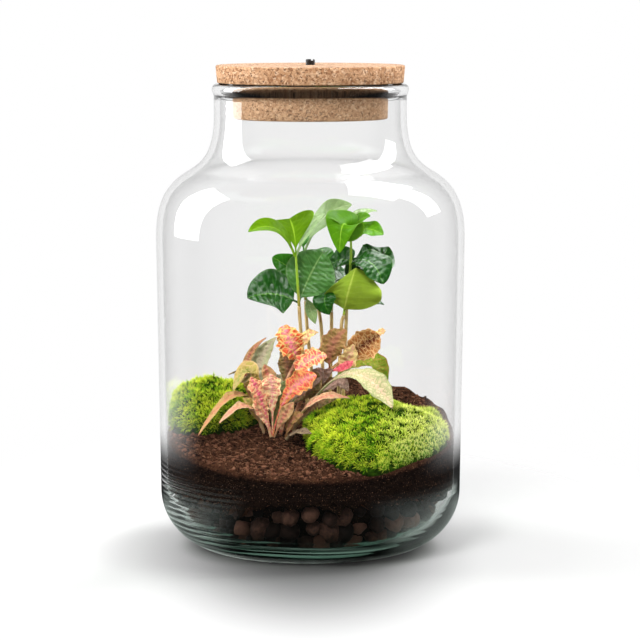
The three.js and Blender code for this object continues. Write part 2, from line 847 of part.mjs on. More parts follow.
const clear = { transparent: true, opacity: 0.3 };
show('glass_jar', glassBody(), COLOUR.glass, 0.03, clear);
show('glass_neck', glassNeck(), COLOUR.glass, 0.03, clear);
show('cork_lid', corkLid(), COLOUR.cork, 0.85);
show('lid_button', lidButton(), COLOUR.button, 0.4);
show('clay_granules', clayGranules(), COLOUR.clay, 0.9);

const roots = [
  ...COFFEE.map(({ root }) => ({ at: root, radius: STEM.coffeeRoot })),
  ...NET_LEAF.map(({ root }) => ({ at: root, radius: STEM.netRoot })),
];
show('soil', soil(roots), COLOUR.soil, 0.95);

const overSoil = ground(DRAIN.top, GAP);
const cleared = [];
plantPieces().forEach(({ name, colour, post: foot, growth }) => {
  let solid = growth(0).subtract(overSoil);
  if (foot) solid = solid.add(foot(0));
  cleared.forEach((other) => {
    solid = solid.subtract(other);
  });
  cleared.push(foot ? growth(GAP).add(foot(GAP)) : growth(GAP));
  show(name, mainBody(solid), colour, 0.5);
});

MOSS.forEach((cushion) => {
  let solid = mossCushion(cushion).subtract(overSoil).intersect(jarSpace(GAP));
  cleared.forEach((other) => {
    solid = solid.subtract(other);
  });
  show(cushion.name, mainBody(solid), COLOUR.moss, 0.9);
});

export default group;
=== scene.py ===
import math

import bmesh
import bpy
import numpy as np
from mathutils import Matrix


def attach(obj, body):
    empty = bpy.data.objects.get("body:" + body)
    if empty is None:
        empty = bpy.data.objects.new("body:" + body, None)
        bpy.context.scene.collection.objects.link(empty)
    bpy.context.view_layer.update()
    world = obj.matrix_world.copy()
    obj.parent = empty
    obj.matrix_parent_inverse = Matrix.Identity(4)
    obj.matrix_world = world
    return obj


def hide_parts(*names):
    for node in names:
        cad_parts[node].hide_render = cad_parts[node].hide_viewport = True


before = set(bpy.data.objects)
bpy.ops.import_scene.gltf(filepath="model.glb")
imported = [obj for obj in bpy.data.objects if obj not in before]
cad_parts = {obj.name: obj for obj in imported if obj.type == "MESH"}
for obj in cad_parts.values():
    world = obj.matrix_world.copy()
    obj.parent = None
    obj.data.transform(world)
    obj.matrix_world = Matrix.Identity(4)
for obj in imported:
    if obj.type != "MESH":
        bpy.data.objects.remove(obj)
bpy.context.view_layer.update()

# The looks of a planted terrarium: a corked glass jar with clay granules, soil, moss cushions,
# coffee seedlings and a net-leaf plant. The tables are in millimetres and the meshes in metres.

MM = 0.001
JAR = dict(
    foot_radius=55, heel_radius=92.5, heel_height=37, body_radius=94.7, shoulder_start=192,
    bend_radius=74.5, bend_height=233.3, neck_radius=59, neck_start=264, neck_end=279,
    rim_radius=56.5, rim_height=286.2, wall=3.8, base=7,
)
FOOT_POINTS = 12
LID = dict(
    top_radius=57.8, under_radius=57, plug_radius=47.7, plug_bottom=264.9, under=286.5, top=297.5,
    pit_radius=3.1, pit_floor=289,
)
SOIL = dict(level=75, slope=0.21, bottom=41.3, gap=0.4, reach=88, strewn=86)
CRUMBS = dict(count=9000, gap=0.6, smallest=0.25, largest=1.7)
FIBRES = dict(count=1500, gap=1.0, shortest=1.0, longest=4.2)
CLAY = dict(
    top=41, bottom=7.9, clear=0.9, core=10, core_bottom=8.2, core_top=40.8, radius=6.2, first_row=14.4,
    row_step=9.4,
)
CLAY_ROWS = [(43, 0.0), (46, 0.15), (48, 0.55)]  # balls in a row, and the share of them that lie deep
TUFT = dict(leaflets=13, half_width=0.12)
GOLDEN_ANGLE = 2.399963  # from each moss tuft to the next, which spreads them evenly
LEAF_THICKNESS = 0.45
STEM_RADIUS = dict(wood=1.1, green=0.95, net=1.3)
ROOM = dict(sky=0.8, front=0.025, back=0.9, below=0.1, sheen=6.5, edges=0.9, backdrop=1.02, white=1.0)

MOSS = [
    dict(name="moss_right", centre=(41, -37), radii=(45, 44), height=25, tufts=1000, notch=0.24),
    dict(name="moss_left", centre=(-62, 14), radii=(30, 33), height=21, tufts=540, notch=0),
    dict(name="moss_tuft", centre=(71, 8), radii=(8, 6), height=7, tufts=50, notch=0),
]

# Each look has the colours of field and vein, its dullness, and the heights of crinkle and quilt.
COFFEE_LOOKS = {
    "dark": ("124c04", "58902c", 0.22, 0.3, 0.5), "deep": ("4c8038", "8cae68", 0.2, 0.75, 0.5),
    "fresh": ("689600", "b0d838", 0.9, 0.1, 0.15), "bright": ("569200", "9ac636", 0.8, 0.1, 0.15),
    "green": ("327c0c", "7aae38", 0.5, 0.1, 0.5), "pale": ("a2c280", "d0e2b0", 0.5, 0.1, 0.15),
    "under": ("7c9814", "b2c050", 1.0, 0.15, 0.15),
}
# Each look has the colours of field, vein and centre, how strong its net is, and its frill.
NET_LOOKS = {
    "vivid": ("dd5c38", "eec67a", "ee8294", 1.0, 1.0), "rose": ("de6450", "eac688", "e67e8c", 1.0, 0.7),
    "coral": ("e65f4c", "eeb068", "f08890", 0.8, 1.0), "blush": ("e58f78", "f2d6a0", "ee9a9c", 0.9, 1.0),
    "straw": ("d8a878", "ead490", "dba08a", 0.8, 0.8), "hot": ("dc5c6c", "e89684", "e04c6c", 0.4, 0.4),
    "flush": ("e0866a", "ecc890", "e0647c", 0.7, 1.0), "russet": ("846a3a", "b4805c", "96604c", 0.35, 0.6),
    "bronze": ("ac6c3c", "deb47e", "642c1a", 0.65, 0.4), "green": ("6f8f1e", "a8743c", "7f8f2a", 0.5, 0.3),
    "cream": ("c0b48c", "98a06a", "d4b498", 0.8, 0.3), "salmon": ("cc9472", "b8a680", "cc8270", 0.4, 0.3),
    "amber": ("bd8c5c", "aa9c5c", "c27e62", 0.4, 0.3), "olive": ("a4924a", "cda678", "8c9048", 0.5, 0.3),
    "tawny": ("c8946a", "b8a274", "cc7c6c", 0.4, 0.3), "sage": ("969c74", "b8a68a", "a89a84", 0.5, 0.3),
    "moss": ("5c7046", "8e865a", "6c784c", 0.5, 0.3), "mauve": ("a08676", "8a665f", "b49284", 0.5, 0.3),
    "dry": ("7f6a55", "a08a6e", "6f5a4c", 0.2, 0.3), "umber": ("6f6a40", "a8805c", "8a6452", 0.6, 0.3),
}


def blade(look, width, facing, *spine, **form):
    """A leaf's row: its look, its half width, the way its top faces, the start, middle and end of
    its midrib, and its form where that isn't the usual one."""
    usual = dict(cup=12, wave=0, petiole=0.12, belly=0.5, blunt=0.85, sweep=(0, 0))
    return {**usual, "look": look, "width": width, "facing": facing, "spine": spine, **form}


COFFEE = {
    "coffee_1": dict(root=(-1, 5), wood=[(-1.5, 5, 84), (-6, 4.5, 134), (-7, 4, 149)],
          green=[(-7, 4, 149.3), (-8, 3, 165), (-9, 3, 181)], leaves=[
        blade("dark", 16, (0, -0.8, 0.6), (-7, 4, 151), (-23, 6, 156), (-39, 2, 154), cup=18, wave=1,
              blunt=0.65, sweep=(0.4, 0.1)),
        blade("deep", 16.5, (0.1, -1, 0.3), (-7, 5, 151), (-1, 11, 166), (8, 14, 182), cup=14, wave=1.6,
              blunt=0.6),
        blade("fresh", 8, (0.1, -0.5, 0.85), (-9, 3, 179), (-21, -3, 197), (-38, -10, 196), cup=16,
              belly=0.55),
        blade("fresh", 15.5, (0.1, -0.95, 0.35), (-9, 3, 180), (-10, 7, 193), (-13, 10, 203), cup=18,
              belly=0.7, wave=1.2, blunt=0.8, sweep=(-0.35, -0.35)),
        blade("pale", 6, (-0.3, -0.4, 0.85), (-9, 3, 180), (0, 11, 198), (9, 15, 206)),
    ]),
    "coffee_2": dict(root=(3, 14), wood=[(3, 14, 84), (-2, 15, 133), (-3, 16, 151)],
          green=[(-3, 16, 151.3), (-4, 17.5, 167), (-4, 18, 182)], leaves=[
        blade("pale", 11, (-0.4, -0.6, 0.65), (-4, 18, 181), (9, 22, 203), (26, 22, 212), cup=10,
              belly=0.6, wave=1.2),
        blade("green", 9, (0, -0.2, 1), (-4, 18, 181), (-6, 34, 191), (-8, 50, 192), cup=14),
        blade("green", 8.5, (0, -0.8, 0.6), (-4, 17, 165), (-13, 20, 171), (-24, 20, 178), wave=0.8,
              blunt=0.65),
        blade("pale", 3.6, (0.1, -1, 0.1), (-3, 16, 154), (0, 14.5, 146), (3, 13, 137), cup=10),
    ]),
    "coffee_3": dict(root=(8, 21), wood=[(8, 21, 84), (7, 21, 129), (5, 22, 146)], green=[(5, 22, 146.3),
          (5, 23, 153), (5, 24, 162)], leaves=[
        blade("deep", 13, (0, 0, 1), (5, 24, 160), (-7, 38, 165), (-18, 51, 154), cup=14, wave=1.6),
        blade("dark", 12, (0, -0.55, 0.8), (5, 24, 160), (18, 36, 164), (28, 50, 157), cup=14, wave=1.6),
        blade("green", 7, (0, -0.7, 0.7), (5, 24, 161), (8, 32, 176), (6, 44, 181), cup=14),
    ]),
    "coffee_4": dict(root=(12, 11), wood=[(12, 11, 84), (13, 10, 133), (13, 10, 145)],
          green=[(13, 10, 145.3), (13.5, 11, 153), (14, 13, 163)], leaves=[
        blade("dark", 7.5, (-0.3, -1, 0.2), (14, 12, 162), (9, 5, 154), (12, 2, 144), cup=10, wave=0.8),
        blade("dark", 9.5, (0, -0.5, 0.8), (14, 13, 162), (24, 31, 165), (33, 43, 155), wave=1.2),
    ]),
    "coffee_5": dict(root=(17, 3), wood=[(17, 3, 84), (19, 4, 134), (20.5, 4, 143)],
          green=[(20.6, 4, 143.3), (20.9, 4, 145.5), (21, 4, 148)], leaves=[
        blade("under", 21, (0.3, 0.95, -0.2), (21, 4, 146), (24, -3, 161), (28, 4, 173), cup=20, wave=1.6,
              petiole=0.06, belly=0.4, blunt=0.6, sweep=(-0.05, 0.6)),
        blade("dark", 9, (0, -0.3, 1), (21, 4, 147), (31, 10, 152), (46, 12, 149), wave=1),
    ]),
    "coffee_6": dict(root=(20, 13), wood=[(20, 13, 84), (22, 14, 133), (22.5, 14, 148)],
          green=[(22.6, 14, 148.3), (25, 13, 176), (25, 12, 195)], leaves=[
        blade("dark", 13, (0.2, -0.5, 0.8), (25, 13, 174), (36, 6, 176), (45, 1, 163), cup=14, wave=1.6,
              belly=0.55, blunt=0.6),
        blade("dark", 14, (0, -0.75, 0.65), (25, 13, 176), (40, 20, 175), (49, 26, 184), cup=14, wave=1.6,
              petiole=0.06, belly=0.45),
        blade("dark", 9, (0, -1, 0.3), (24, 18, 163), (31, 22, 169), (40, 24, 162), cup=10, wave=0.8,
              petiole=0.03, belly=0.4),
        blade("dark", 9.5, (0, -0.8, 0.6), (25, 14, 175), (19, 20, 176), (12, 25, 172), wave=1,
              petiole=0.02, belly=0.38, blunt=0.6),
        blade("bright", 12, (-0.1, -0.9, 0.4), (25, 11, 193), (20, 4, 199), (18, 0, 182), cup=16,
              belly=0.42, wave=1.4, blunt=0.7, sweep=(0.45, 0.45)),
        blade("bright", 5.5, (0, -0.5, 0.85), (25, 12, 193), (17, 8, 202), (9, 4, 204)),
        blade("bright", 6.5, (0, -0.6, 0.8), (25, 12, 193), (30, 9, 201), (37, 5, 205), cup=14),
        blade("bright", 7.5, (0, -0.6, 0.8), (25, 12, 190), (34, 8, 196), (45, 4, 193), wave=1, blunt=0.65),
        blade("pale", 6.5, (-0.2, -0.3, 0.9), (25, 13, 194), (31, 20, 205), (42, 25, 207), cup=10),
        blade("green", 8, (0, 0, 1), (25, 13, 192), (19, 28, 199), (15, 42, 194)),
    ]),
}

NET_LEAF = {
    "net_leaf_left_low": dict(slot="net_leaf", stems=[], leaves=[
        blade("salmon", 5, (0, -0.2, 1), (-28, -21, 73), (-38, -28, 91), (-55, -38, 82), wave=0.8),
        blade("olive", 4, (0.2, -0.9, 0.4), (-28, -20, 74), (-33, -23, 88), (-41, -25, 96), wave=0.8),
    ]),
    "net_leaf_left_high": dict(slot="net_leaf_green", stems=[], leaves=[
        blade("amber", 4.5, (0, -0.2, 1), (-30, -13, 75), (-44, -16, 97), (-68, -30, 73), wave=0.8),
        blade("olive", 8, (-0.6, -0.5, 0.6), (-30, -13, 75), (-37, -14, 109), (-47, -20, 99), wave=1),
    ]),
    "net_leaf_back_left": dict(slot="net_leaf_green", stems=[], leaves=[
        blade("tawny", 2.6, (0, -1, 0.2), (-27, -6, 77), (-40, -3, 109), (-27, 1, 130), wave=0.5),
        blade("sage", 7, (-0.5, -0.8, 0.2), (-27, -6, 77), (-32, 0, 108), (-21, 3, 130), wave=1.2),
        blade("olive", 6, (0, 0, 1), (-27, -6, 76), (-35, 8, 103), (-52, 20, 104), wave=1),
    ]),
    "net_leaf_top": dict(slot="net_leaf", stems=[[(-20, -12, 74), (-17, -13, 98), (-8, -14, 119)]], leaves=[
        blade("vivid", 8.5, (0.1, -0.9, 0.45), (-8, -14, 118), (-12, -19, 129), (-17, -15, 139), cup=10,
              wave=1.6, petiole=0.05, blunt=0.5),
        blade("straw", 3.6, (0, -0.6, 0.8), (-8, -14, 118), (-3, -10, 131), (5, -7, 134), wave=0.8),
        blade("umber", 6, (0, -0.9, 0.3), (-17, -13, 97), (-14, -11, 114), (-19, -8, 122), wave=1),
        blade("tawny", 4.5, (0.2, -1, 0.2), (-17, -14, 97), (-24, -17, 106), (-28, -18, 116), wave=1,
              belly=0.6),
    ]),
    "net_leaf_heart": dict(slot="net_leaf", stems=[[(-18, -20, 73), (-15, -20, 92), (-9, -20, 110)]],
          leaves=[
        blade("rose", 7, (0, -0.7, 0.7), (-9, -20, 109), (-2, -26, 119), (10, -25, 122), cup=8, wave=1.4,
              petiole=0.05, blunt=0.5),
        blade("mauve", 4.5, (0.2, -0.9, 0.4), (-15, -20, 90), (0, -22, 106), (8, -21, 114), wave=0.8),
        blade("umber", 5.5, (0, -1, 0.3), (-15, -19, 88), (2, -14, 101), (15, -13, 106), wave=1.2),
        blade("moss", 5, (0, -1, 0.2), (-16, -19, 86), (-10, -16, 100), (-4, -15, 112), wave=1),
    ]),
    "net_leaf_right_top": dict(slot="net_leaf", stems=[[(-13, -14, 74), (-4, -15, 96), (12, -13, 113)]],
          leaves=[
        blade("russet", 7.5, (0, -0.9, 0.4), (12, -13, 112), (13, -15, 126), (22, -8, 136), cup=10,
              wave=1.4, blunt=0.6),
        blade("bronze", 10, (0.1, -1, 0.1), (12, -13, 111), (28, -20, 125), (42, -21, 134), cup=24,
              wave=1.6, petiole=0.3, belly=0.55, blunt=0.55),
        blade("straw", 3, (0, -0.6, 0.8), (12, -12, 112), (36, -10, 130), (46, -10, 135), wave=0.6,
              petiole=0.5),
        blade("straw", 5.5, (0.2, -1, 0.2), (12, -15, 111), (21, -21, 117), (26, -22, 129), cup=16,
              wave=1.2, belly=0.6),
        blade("hot", 3, (0, -0.8, 0.5), (11, -14, 111), (20, -25, 115), (26, -27, 119), wave=0.5),
        blade("mauve", 4, (0, -0.9, 0.4), (-4, -15, 95), (5, -18, 106), (14, -19, 113), wave=0.7),
        blade("umber", 5, (0, -1, 0.2), (-5, -16, 93), (1, -21, 102), (4, -23, 112), wave=1.2, belly=0.6),
    ]),
    "net_leaf_right": dict(slot="net_leaf_green", stems=[], leaves=[
        blade("green", 7.5, (0, -0.6, 0.8), (-10, -6, 76), (28, -5, 115), (47, -3, 101), wave=1,
              petiole=0.3, belly=0.6),
    ]),
    "net_leaf_right_low": dict(slot="net_leaf_green", stems=[], leaves=[
        blade("cream", 8.5, (0, -0.5, 0.85), (-11, -21, 74), (21, -30, 111), (49, -50, 93), wave=1,
              petiole=0.3, belly=0.68),
        blade("salmon", 4.2, (0, -0.4, 0.9), (-11, -21, 74), (2, -33, 95), (24, -33, 97), wave=0.6,
              petiole=0.25),
        blade("mauve", 5, (0, -0.5, 0.85), (-11, -21, 75), (11, -22, 102), (23, -24, 100), wave=1,
              petiole=0.4),
        blade("umber", 5, (0, -0.8, 0.5), (-11, -21, 74), (4, -24, 93), (17, -21, 95), wave=1),
    ]),
    "net_leaf_front": dict(slot="net_leaf", stems=[], leaves=[
        blade("blush", 6, (0, -1, 0.3), (-23, -27, 72), (-23, -32, 96), (-24, -32, 112), wave=1.6,
              petiole=0.12, belly=0.72, blunt=0.9),
        blade("flush", 5.4, (0.3, -1, 0.2), (-23, -27, 72), (-29, -33, 94), (-36, -33, 110), wave=1.4,
              petiole=0.08, belly=0.7, blunt=0.9),
        blade("moss", 5, (0, -1, 0.2), (-23, -26, 73), (-20, -24, 92), (-14, -22, 107), wave=1),
        blade("blush", 4.2, (0.2, -1, 0.2), (-24, -28, 72), (-28, -31, 86), (-34, -31, 97), wave=1,
              belly=0.66),
        blade("tawny", 3.8, (-0.2, -1, 0.2), (-22, -28, 72), (-17, -33, 84), (-10, -34, 95), wave=1,
              belly=0.66),
        blade("coral", 7, (0.1, -0.9, 0.4), (-23, -27, 72), (-13, -34, 100), (4, -32, 111), wave=1.8,
              petiole=0.12, belly=0.72, blunt=0.85),
    ]),
    "net_leaf_dry": dict(slot="dry_leaf", stems=[], leaves=[
        blade("russet", 4.4, (-0.5, -0.7, 0.6), (-15, -29, 71), (-11, -34, 83), (-4, -40, 88), wave=0.6),
        blade("dry", 3.6, (0, -0.5, 0.9), (-15, -29, 71), (-8, -38, 77), (1, -44, 77), wave=0.6),
    ]),
    "net_leaf_back": dict(slot="net_leaf_green", stems=[], leaves=[
        blade("sage", 6, (0, 0, 1), (-19, 2, 77), (-20, 15, 102), (-22, 31, 97), wave=1, petiole=0.3),
        blade("moss", 4.5, (0, 0.5, 0.8), (-19, 2, 77), (-11, 5, 104), (-16, 17, 118), wave=0.8,
              petiole=0.3),
    ]),
}


# Shader maths

def rgb(code):
    """The linear colour of a six-digit screen colour such as "c39a68"."""
    parts = np.array([int(code[k:k + 2], 16) for k in (0, 2, 4)]) / 255
    linear = np.where(parts <= 0.04045, parts / 12.92, ((parts + 0.055) / 1.055) ** 2.4)
    return (*(float(v) for v in linear), 1.0)


class Wire:
    """An output socket of a shader node. Arithmetic on it adds Math nodes."""

    def __init__(self, paint, socket):
        self.paint = paint
        self.socket = socket

    def math(self, operation, *values):
        """A Math node on these values, or on this wire alone where none is given."""
        return self.paint.add("Math", {"operation": operation}, dict(enumerate(values or (self,))))

    def __add__(self, other):
        return self.math("ADD", self, other)

    def __radd__(self, other):
        return self.math("ADD", other, self)

    def __sub__(self, other):
        return self.math("SUBTRACT", self, other)

    def __rsub__(self, other):
        return self.math("SUBTRACT", other, self)

    def __mul__(self, other):
        return self.math("MULTIPLY", self, other)

    def __rmul__(self, other):
        return self.math("MULTIPLY", other, self)

    def __truediv__(self, other):
        return self.math("DIVIDE", self, other)

    def __pow__(self, other):
        return self.math("POWER", self, other)

    def size(self):
        return self.math("ABSOLUTE")

    def ramp(self, low, high, start=0.0, end=1.0):
        """Smooth step from start at low to end at high."""
        sockets = {"Value": self, "From Min": low, "From Max": high, "To Min": start, "To Max": end}
        return self.paint.add("MapRange", {"interpolation_type": "SMOOTHSTEP"}, sockets)


class Paint:
    """The nodes of one finish of this object, or of the studio's world."""

    def __init__(self, name, kind="materials"):
        self.owner = getattr(bpy.data, kind).new(name)
        self.owner.use_nodes = True
        self.tree = self.owner.node_tree
        self.tree.nodes.clear()

    def add(self, kind, settings=None, inputs=None, out=0):
        """A node of any kind. Its settings are made first, then its sockets are given wires,
        values or colour codes."""
        node = self.tree.nodes.new("ShaderNode" + kind)
        for key, value in (settings or {}).items():
            if key == "stops":
                self.set_stops(node.color_ramp, value)
            else:
                setattr(node, key, value)
        for key, value in (inputs or {}).items():
            if isinstance(value, Wire):
                self.tree.links.new(value.socket, node.inputs[key])
            else:
                node.inputs[key].default_value = rgb(value) if isinstance(value, str) else value
        return Wire(self, node.outputs[out] if node.outputs else None)

    @staticmethod
    def set_stops(ramp, stops):
        for element, (place, code) in zip(ramp.elements, stops):
            element.position = place
            element.color = rgb(code)
        for place, code in stops[2:]:
            ramp.elements.new(place).color = rgb(code)

    def place(self):
        return self.add("TexCoord", out="Object")

    def axes(self, vector):
        split = self.add("SeparateXYZ", None, {0: vector})
        return [Wire(self, socket) for socket in split.socket.node.outputs]

    def attribute(self, name, out="Fac"):
        return self.add("Attribute", {"attribute_name": name}, out=out)

    def path(self, name):
        return self.add("LightPath", out=name)

    def noise(self, where, scale, detail=3.0, roughness=0.55):
        """Noise with that many features in a metre."""
        sockets = {"Vector": where, "Scale": scale, "Detail": detail, "Roughness": roughness}
        return self.add("TexNoise", None, sockets)

    def cells(self, where, scale, feature="F1", out=0):
        return self.add("TexVoronoi", {"feature": feature}, {"Vector": where, "Scale": scale}, out)

    def stretch(self, vector, shares):
        return self.add("VectorMath", {"operation": "MULTIPLY"}, {0: vector, 1: shares})

    def mix(self, share, first, second):
        return self.add("Mix", {"data_type": "RGBA"}, {0: share, 6: first, 7: second}, out=2)

    def layers(self, colour, *coats):
        """The colour under coats that are a share and a colour each, laid one after the other."""
        for share, coat in coats:
            colour = self.mix(share, colour, coat)
        return colour

    def stops(self, share, *stops):
        return self.add("ValToRGB", {"stops": stops}, {0: share})

    def bump(self, height, distance, strength=1.0):
        sockets = {"Height": height, "Distance": distance, "Strength": strength}
        return self.add("Bump", None, sockets)

    def blend(self, share, first, second):
        return self.add("MixShader", None, {0: share, 1: first, 2: second})

    def finish(self, **sockets):
        """Closes the material with a Principled shader. Spaces in its sockets' names are _ here."""
        named = {key.replace("_", " "): value for key, value in sockets.items()}
        return self.end(self.add("BsdfPrincipled", None, named))

    def end(self, shader, kind="OutputMaterial"):
        self.add(kind, None, {"Surface": shader})
        return self.owner


# Meshes from numpy

def new_piece(name, part, material, nodes, smooth=True):
    """A piece from a part's arrays: its places in millimetres, its faces of three or four corners,
    its attributes, which are a number or a colour for each point, and its uv, two numbers for each
    point. Points that coincide are joined, which closes poles and tips."""
    places, faces = part["places"], part["faces"]
    mesh = bpy.data.meshes.new(name)
    mesh.vertices.add(len(places))
    mesh.vertices.foreach_set("co", (places * MM).ravel())
    mesh.loops.add(faces.size)
    mesh.loops.foreach_set("vertex_index", faces.ravel().astype(np.int32))
    mesh.polygons.add(len(faces))
    starts = np.arange(0, faces.size, faces.shape[1], dtype=np.int32)
    mesh.polygons.foreach_set("loop_start", starts)
    mesh.polygons.foreach_set("use_smooth", np.full(len(faces), smooth))
    mesh.update(calc_edges=True)
    for key, values in part.get("attributes", {}).items():
        kind, field = ("FLOAT", "value") if values.ndim == 1 else ("FLOAT_COLOR", "color")
        mesh.attributes.new(key, kind, "POINT").data.foreach_set(field, values.ravel())
    if "uv" in part:
        layer = mesh.uv_layers.new(name="leaf")
        layer.data.foreach_set("uv", part["uv"][faces.ravel()].ravel())
    shell = bmesh.new()
    shell.from_mesh(mesh)
    bmesh.ops.remove_doubles(shell, verts=shell.verts, dist=0.001 * MM)
    shell.to_mesh(mesh)
    shell.free()
    mesh.materials.append(material)
    piece = bpy.data.objects.new(name, mesh)
    bpy.context.scene.collection.objects.link(piece)
    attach(piece, "root")
    if nodes:
        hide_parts(*nodes)


def merged(parts):
    """One part from several that have the same keys."""
    starts = np.cumsum([0] + [len(part["places"]) for part in parts])
    keys = parts[0]["attributes"]
    return {
        "places": np.concatenate([part["places"] for part in parts]),
        "faces": np.concatenate([part["faces"] + start for part, start in zip(parts, starts)]),
        "uv": np.concatenate([part["uv"] for part in parts]),
        "attributes": {key: np.concatenate([part["attributes"][key] for part in parts]) for key in keys},
    }


def unit(vectors):
    return vectors / np.linalg.norm(vectors, axis=-1, keepdims=True)


def full_turn(sides):
    """The angles of that many points evenly round a circle."""
    return np.linspace(0, 2 * np.pi, sides, endpoint=False)


def around(angle, reach, height):
    """Places at these angles, distances from the axis and heights."""
    return np.stack(np.broadcast_arrays(reach * np.cos(angle), reach * np.sin(angle), height), -1)


def reach_of(places):
    """How far places are from the axis, and never quite 0."""
    return np.maximum(np.hypot(places[..., 0], places[..., 1]), 1e-6)


def round_faces(rows, columns):
    """Quads of a skin of rows x columns points whose rows close on themselves."""
    row = np.arange(rows - 1)[:, None] * columns
    column = np.arange(columns)[None]
    after = (column + 1) % columns
    above = row + columns
    return np.stack([row + column, row + after, above + after, above + column], -1).reshape(-1, 4)


def turned(outline, sides):
    """A profile of (radius, height) points turned about Z. Points on the axis close it."""
    outline = np.asarray(outline, float)
    places = around(full_turn(sides), outline[:, :1], outline[:, 1:])
    return {"places": places.reshape(-1, 3), "faces": round_faces(len(outline), sides)}


def bezier(start, first, second, end, count):
    """Points of a cubic curve, without its first point."""
    t = np.linspace(0, 1, count + 1)[1:, None]
    start, first, second, end = (np.array(p, float) for p in (start, first, second, end))
    return (1 - t) ** 3 * start + 3 * (1 - t) ** 2 * t * first + 3 * (1 - t) * t ** 2 * second + t ** 3 * end


def waves(places, length, seed, count=14):
    """Smooth noise of about unit height: a sum of plane waves about that long, in seeded directions."""
    random = np.random.default_rng(seed)
    ways = unit(random.normal(size=(count, places.shape[-1])))
    pitch = 2 * np.pi / (length * random.uniform(0.6, 1.6, count))
    phase = random.uniform(0, 2 * np.pi, count)
    return np.sin(places @ ways.T * pitch + phase).sum(-1) / math.sqrt(count / 2)


def random_turns(count, random):
    """Random rotation matrices, from random unit quaternions."""
    w, x, y, z = unit(random.normal(size=(count, 4))).T
    rows = [
        [1 - 2 * (y * y + z * z), 2 * (x * y - z * w), 2 * (x * z + y * w)],
        [2 * (x * y + z * w), 1 - 2 * (x * x + z * z), 2 * (y * z - x * w)],
        [2 * (x * z - y * w), 2 * (y * z + x * w), 1 - 2 * (x * x + y * y)],
    ]
    return np.array(rows).transpose(2, 0, 1)


def copies(form, faces, places, turns, sizes, shade):
    """Copies of one small form: each is sized, turned and moved, and has a shade of its own."""
    moved = np.einsum("nij,nkj->nki", turns, form[None] * sizes[:, None]) + places[:, None]
    starts = (np.arange(len(places)) * len(form))[:, None, None]
    return {
        "places": moved.reshape(-1, 3),
        "faces": (faces[None] + starts).reshape(-1, 3),
        "attributes": {"shade": np.repeat(shade, len(form))},
    }


def ball(levels):
    """An icosahedron whose triangles are split levels times and drawn out to a unit sphere."""
    g = (1 + math.sqrt(5)) / 2  # the golden ratio
    places = np.array([
        (-1, g, 0), (1, g, 0), (-1, -g, 0), (1, -g, 0), (0, -1, g), (0, 1, g),
        (0, -1, -g), (0, 1, -g), (g, 0, -1), (g, 0, 1), (-g, 0, -1), (-g, 0, 1),
    ])
    faces = np.array([
        (0, 11, 5), (0, 5, 1), (0, 1, 7), (0, 7, 10), (0, 10, 11), (1, 5, 9), (5, 11, 4),
        (11, 10, 2), (10, 7, 6), (7, 1, 8), (3, 9, 4), (3, 4, 2), (3, 2, 6), (3, 6, 8),
        (3, 8, 9), (4, 9, 5), (2, 4, 11), (6, 2, 10), (8, 6, 7), (9, 8, 1),
    ])
    for _ in range(levels):
        sides = np.sort(faces[:, [[0, 1], [1, 2], [2, 0]]].reshape(-1, 2), axis=1)
        unique, back = np.unique(sides, axis=0, return_inverse=True)
        middle = back.reshape(-1, 3) + len(places)
        places = np.concatenate([places, places[unique].mean(axis=1)])
        a, b, c = faces.T
        ab, bc, ca = middle.T
        quarters = [(a, ab, ca), (b, bc, ab), (c, ca, bc), (ab, bc, ca)]
        faces = np.concatenate([np.stack(quarter, -1) for quarter in quarters])
    return unit(places), faces


def tube(points, radius, steps, taper=1.0):
    """A round tube along a smooth curve through the points, closed at both ends. The curve is a
    Catmull-Rom spline, and the section's radius goes from radius to taper x radius."""
    sides = 12
    knots = np.asarray(points, float)
    padded = np.concatenate([[2 * knots[0] - knots[1]], knots, [2 * knots[-1] - knots[-2]]])
    at = np.linspace(0, len(knots) - 1 - 1e-9, steps + 1)
    knot = at.astype(int)
    past = (at - knot)[:, None]
    p0, p1, p2, p3 = (padded[knot + n] for n in range(4))
    line = 0.5 * (2 * p1 + (p2 - p0) * past + (2 * p0 - 5 * p1 + 4 * p2 - p3) * past ** 2
                  + (3 * p1 - p0 - 3 * p2 + p3) * past ** 3)
    ahead = unit(np.gradient(line, axis=0))
    side = unit(np.cross(ahead, (0.0, 1.0, 0.05)))
    up = np.cross(side, ahead)
    angle = full_turn(sides)
    along = np.linspace(0, 1, steps + 1)
    reach = radius * (1 + (taper - 1) * along)
    ring = side[:, None] * np.cos(angle)[:, None] + up[:, None] * np.sin(angle)[:, None]
    places = line[:, None] + ring * reach[:, None, None]
    ends = [np.repeat(line[row:row + 1, None], sides, 1) for row in (0, steps)]
    places = np.concatenate([ends[0], places, ends[1]])
    along = np.repeat(np.concatenate([[0], along, [1]]), sides)
    return {
        "places": places.reshape(-1, 3),
        "faces": round_faces(steps + 3, sides)[:, ::-1],
        "attributes": {"along": along},
        "uv": np.stack([along, np.tile(angle, steps + 3)], -1),
    }


# Where the jar, soil and moss lie

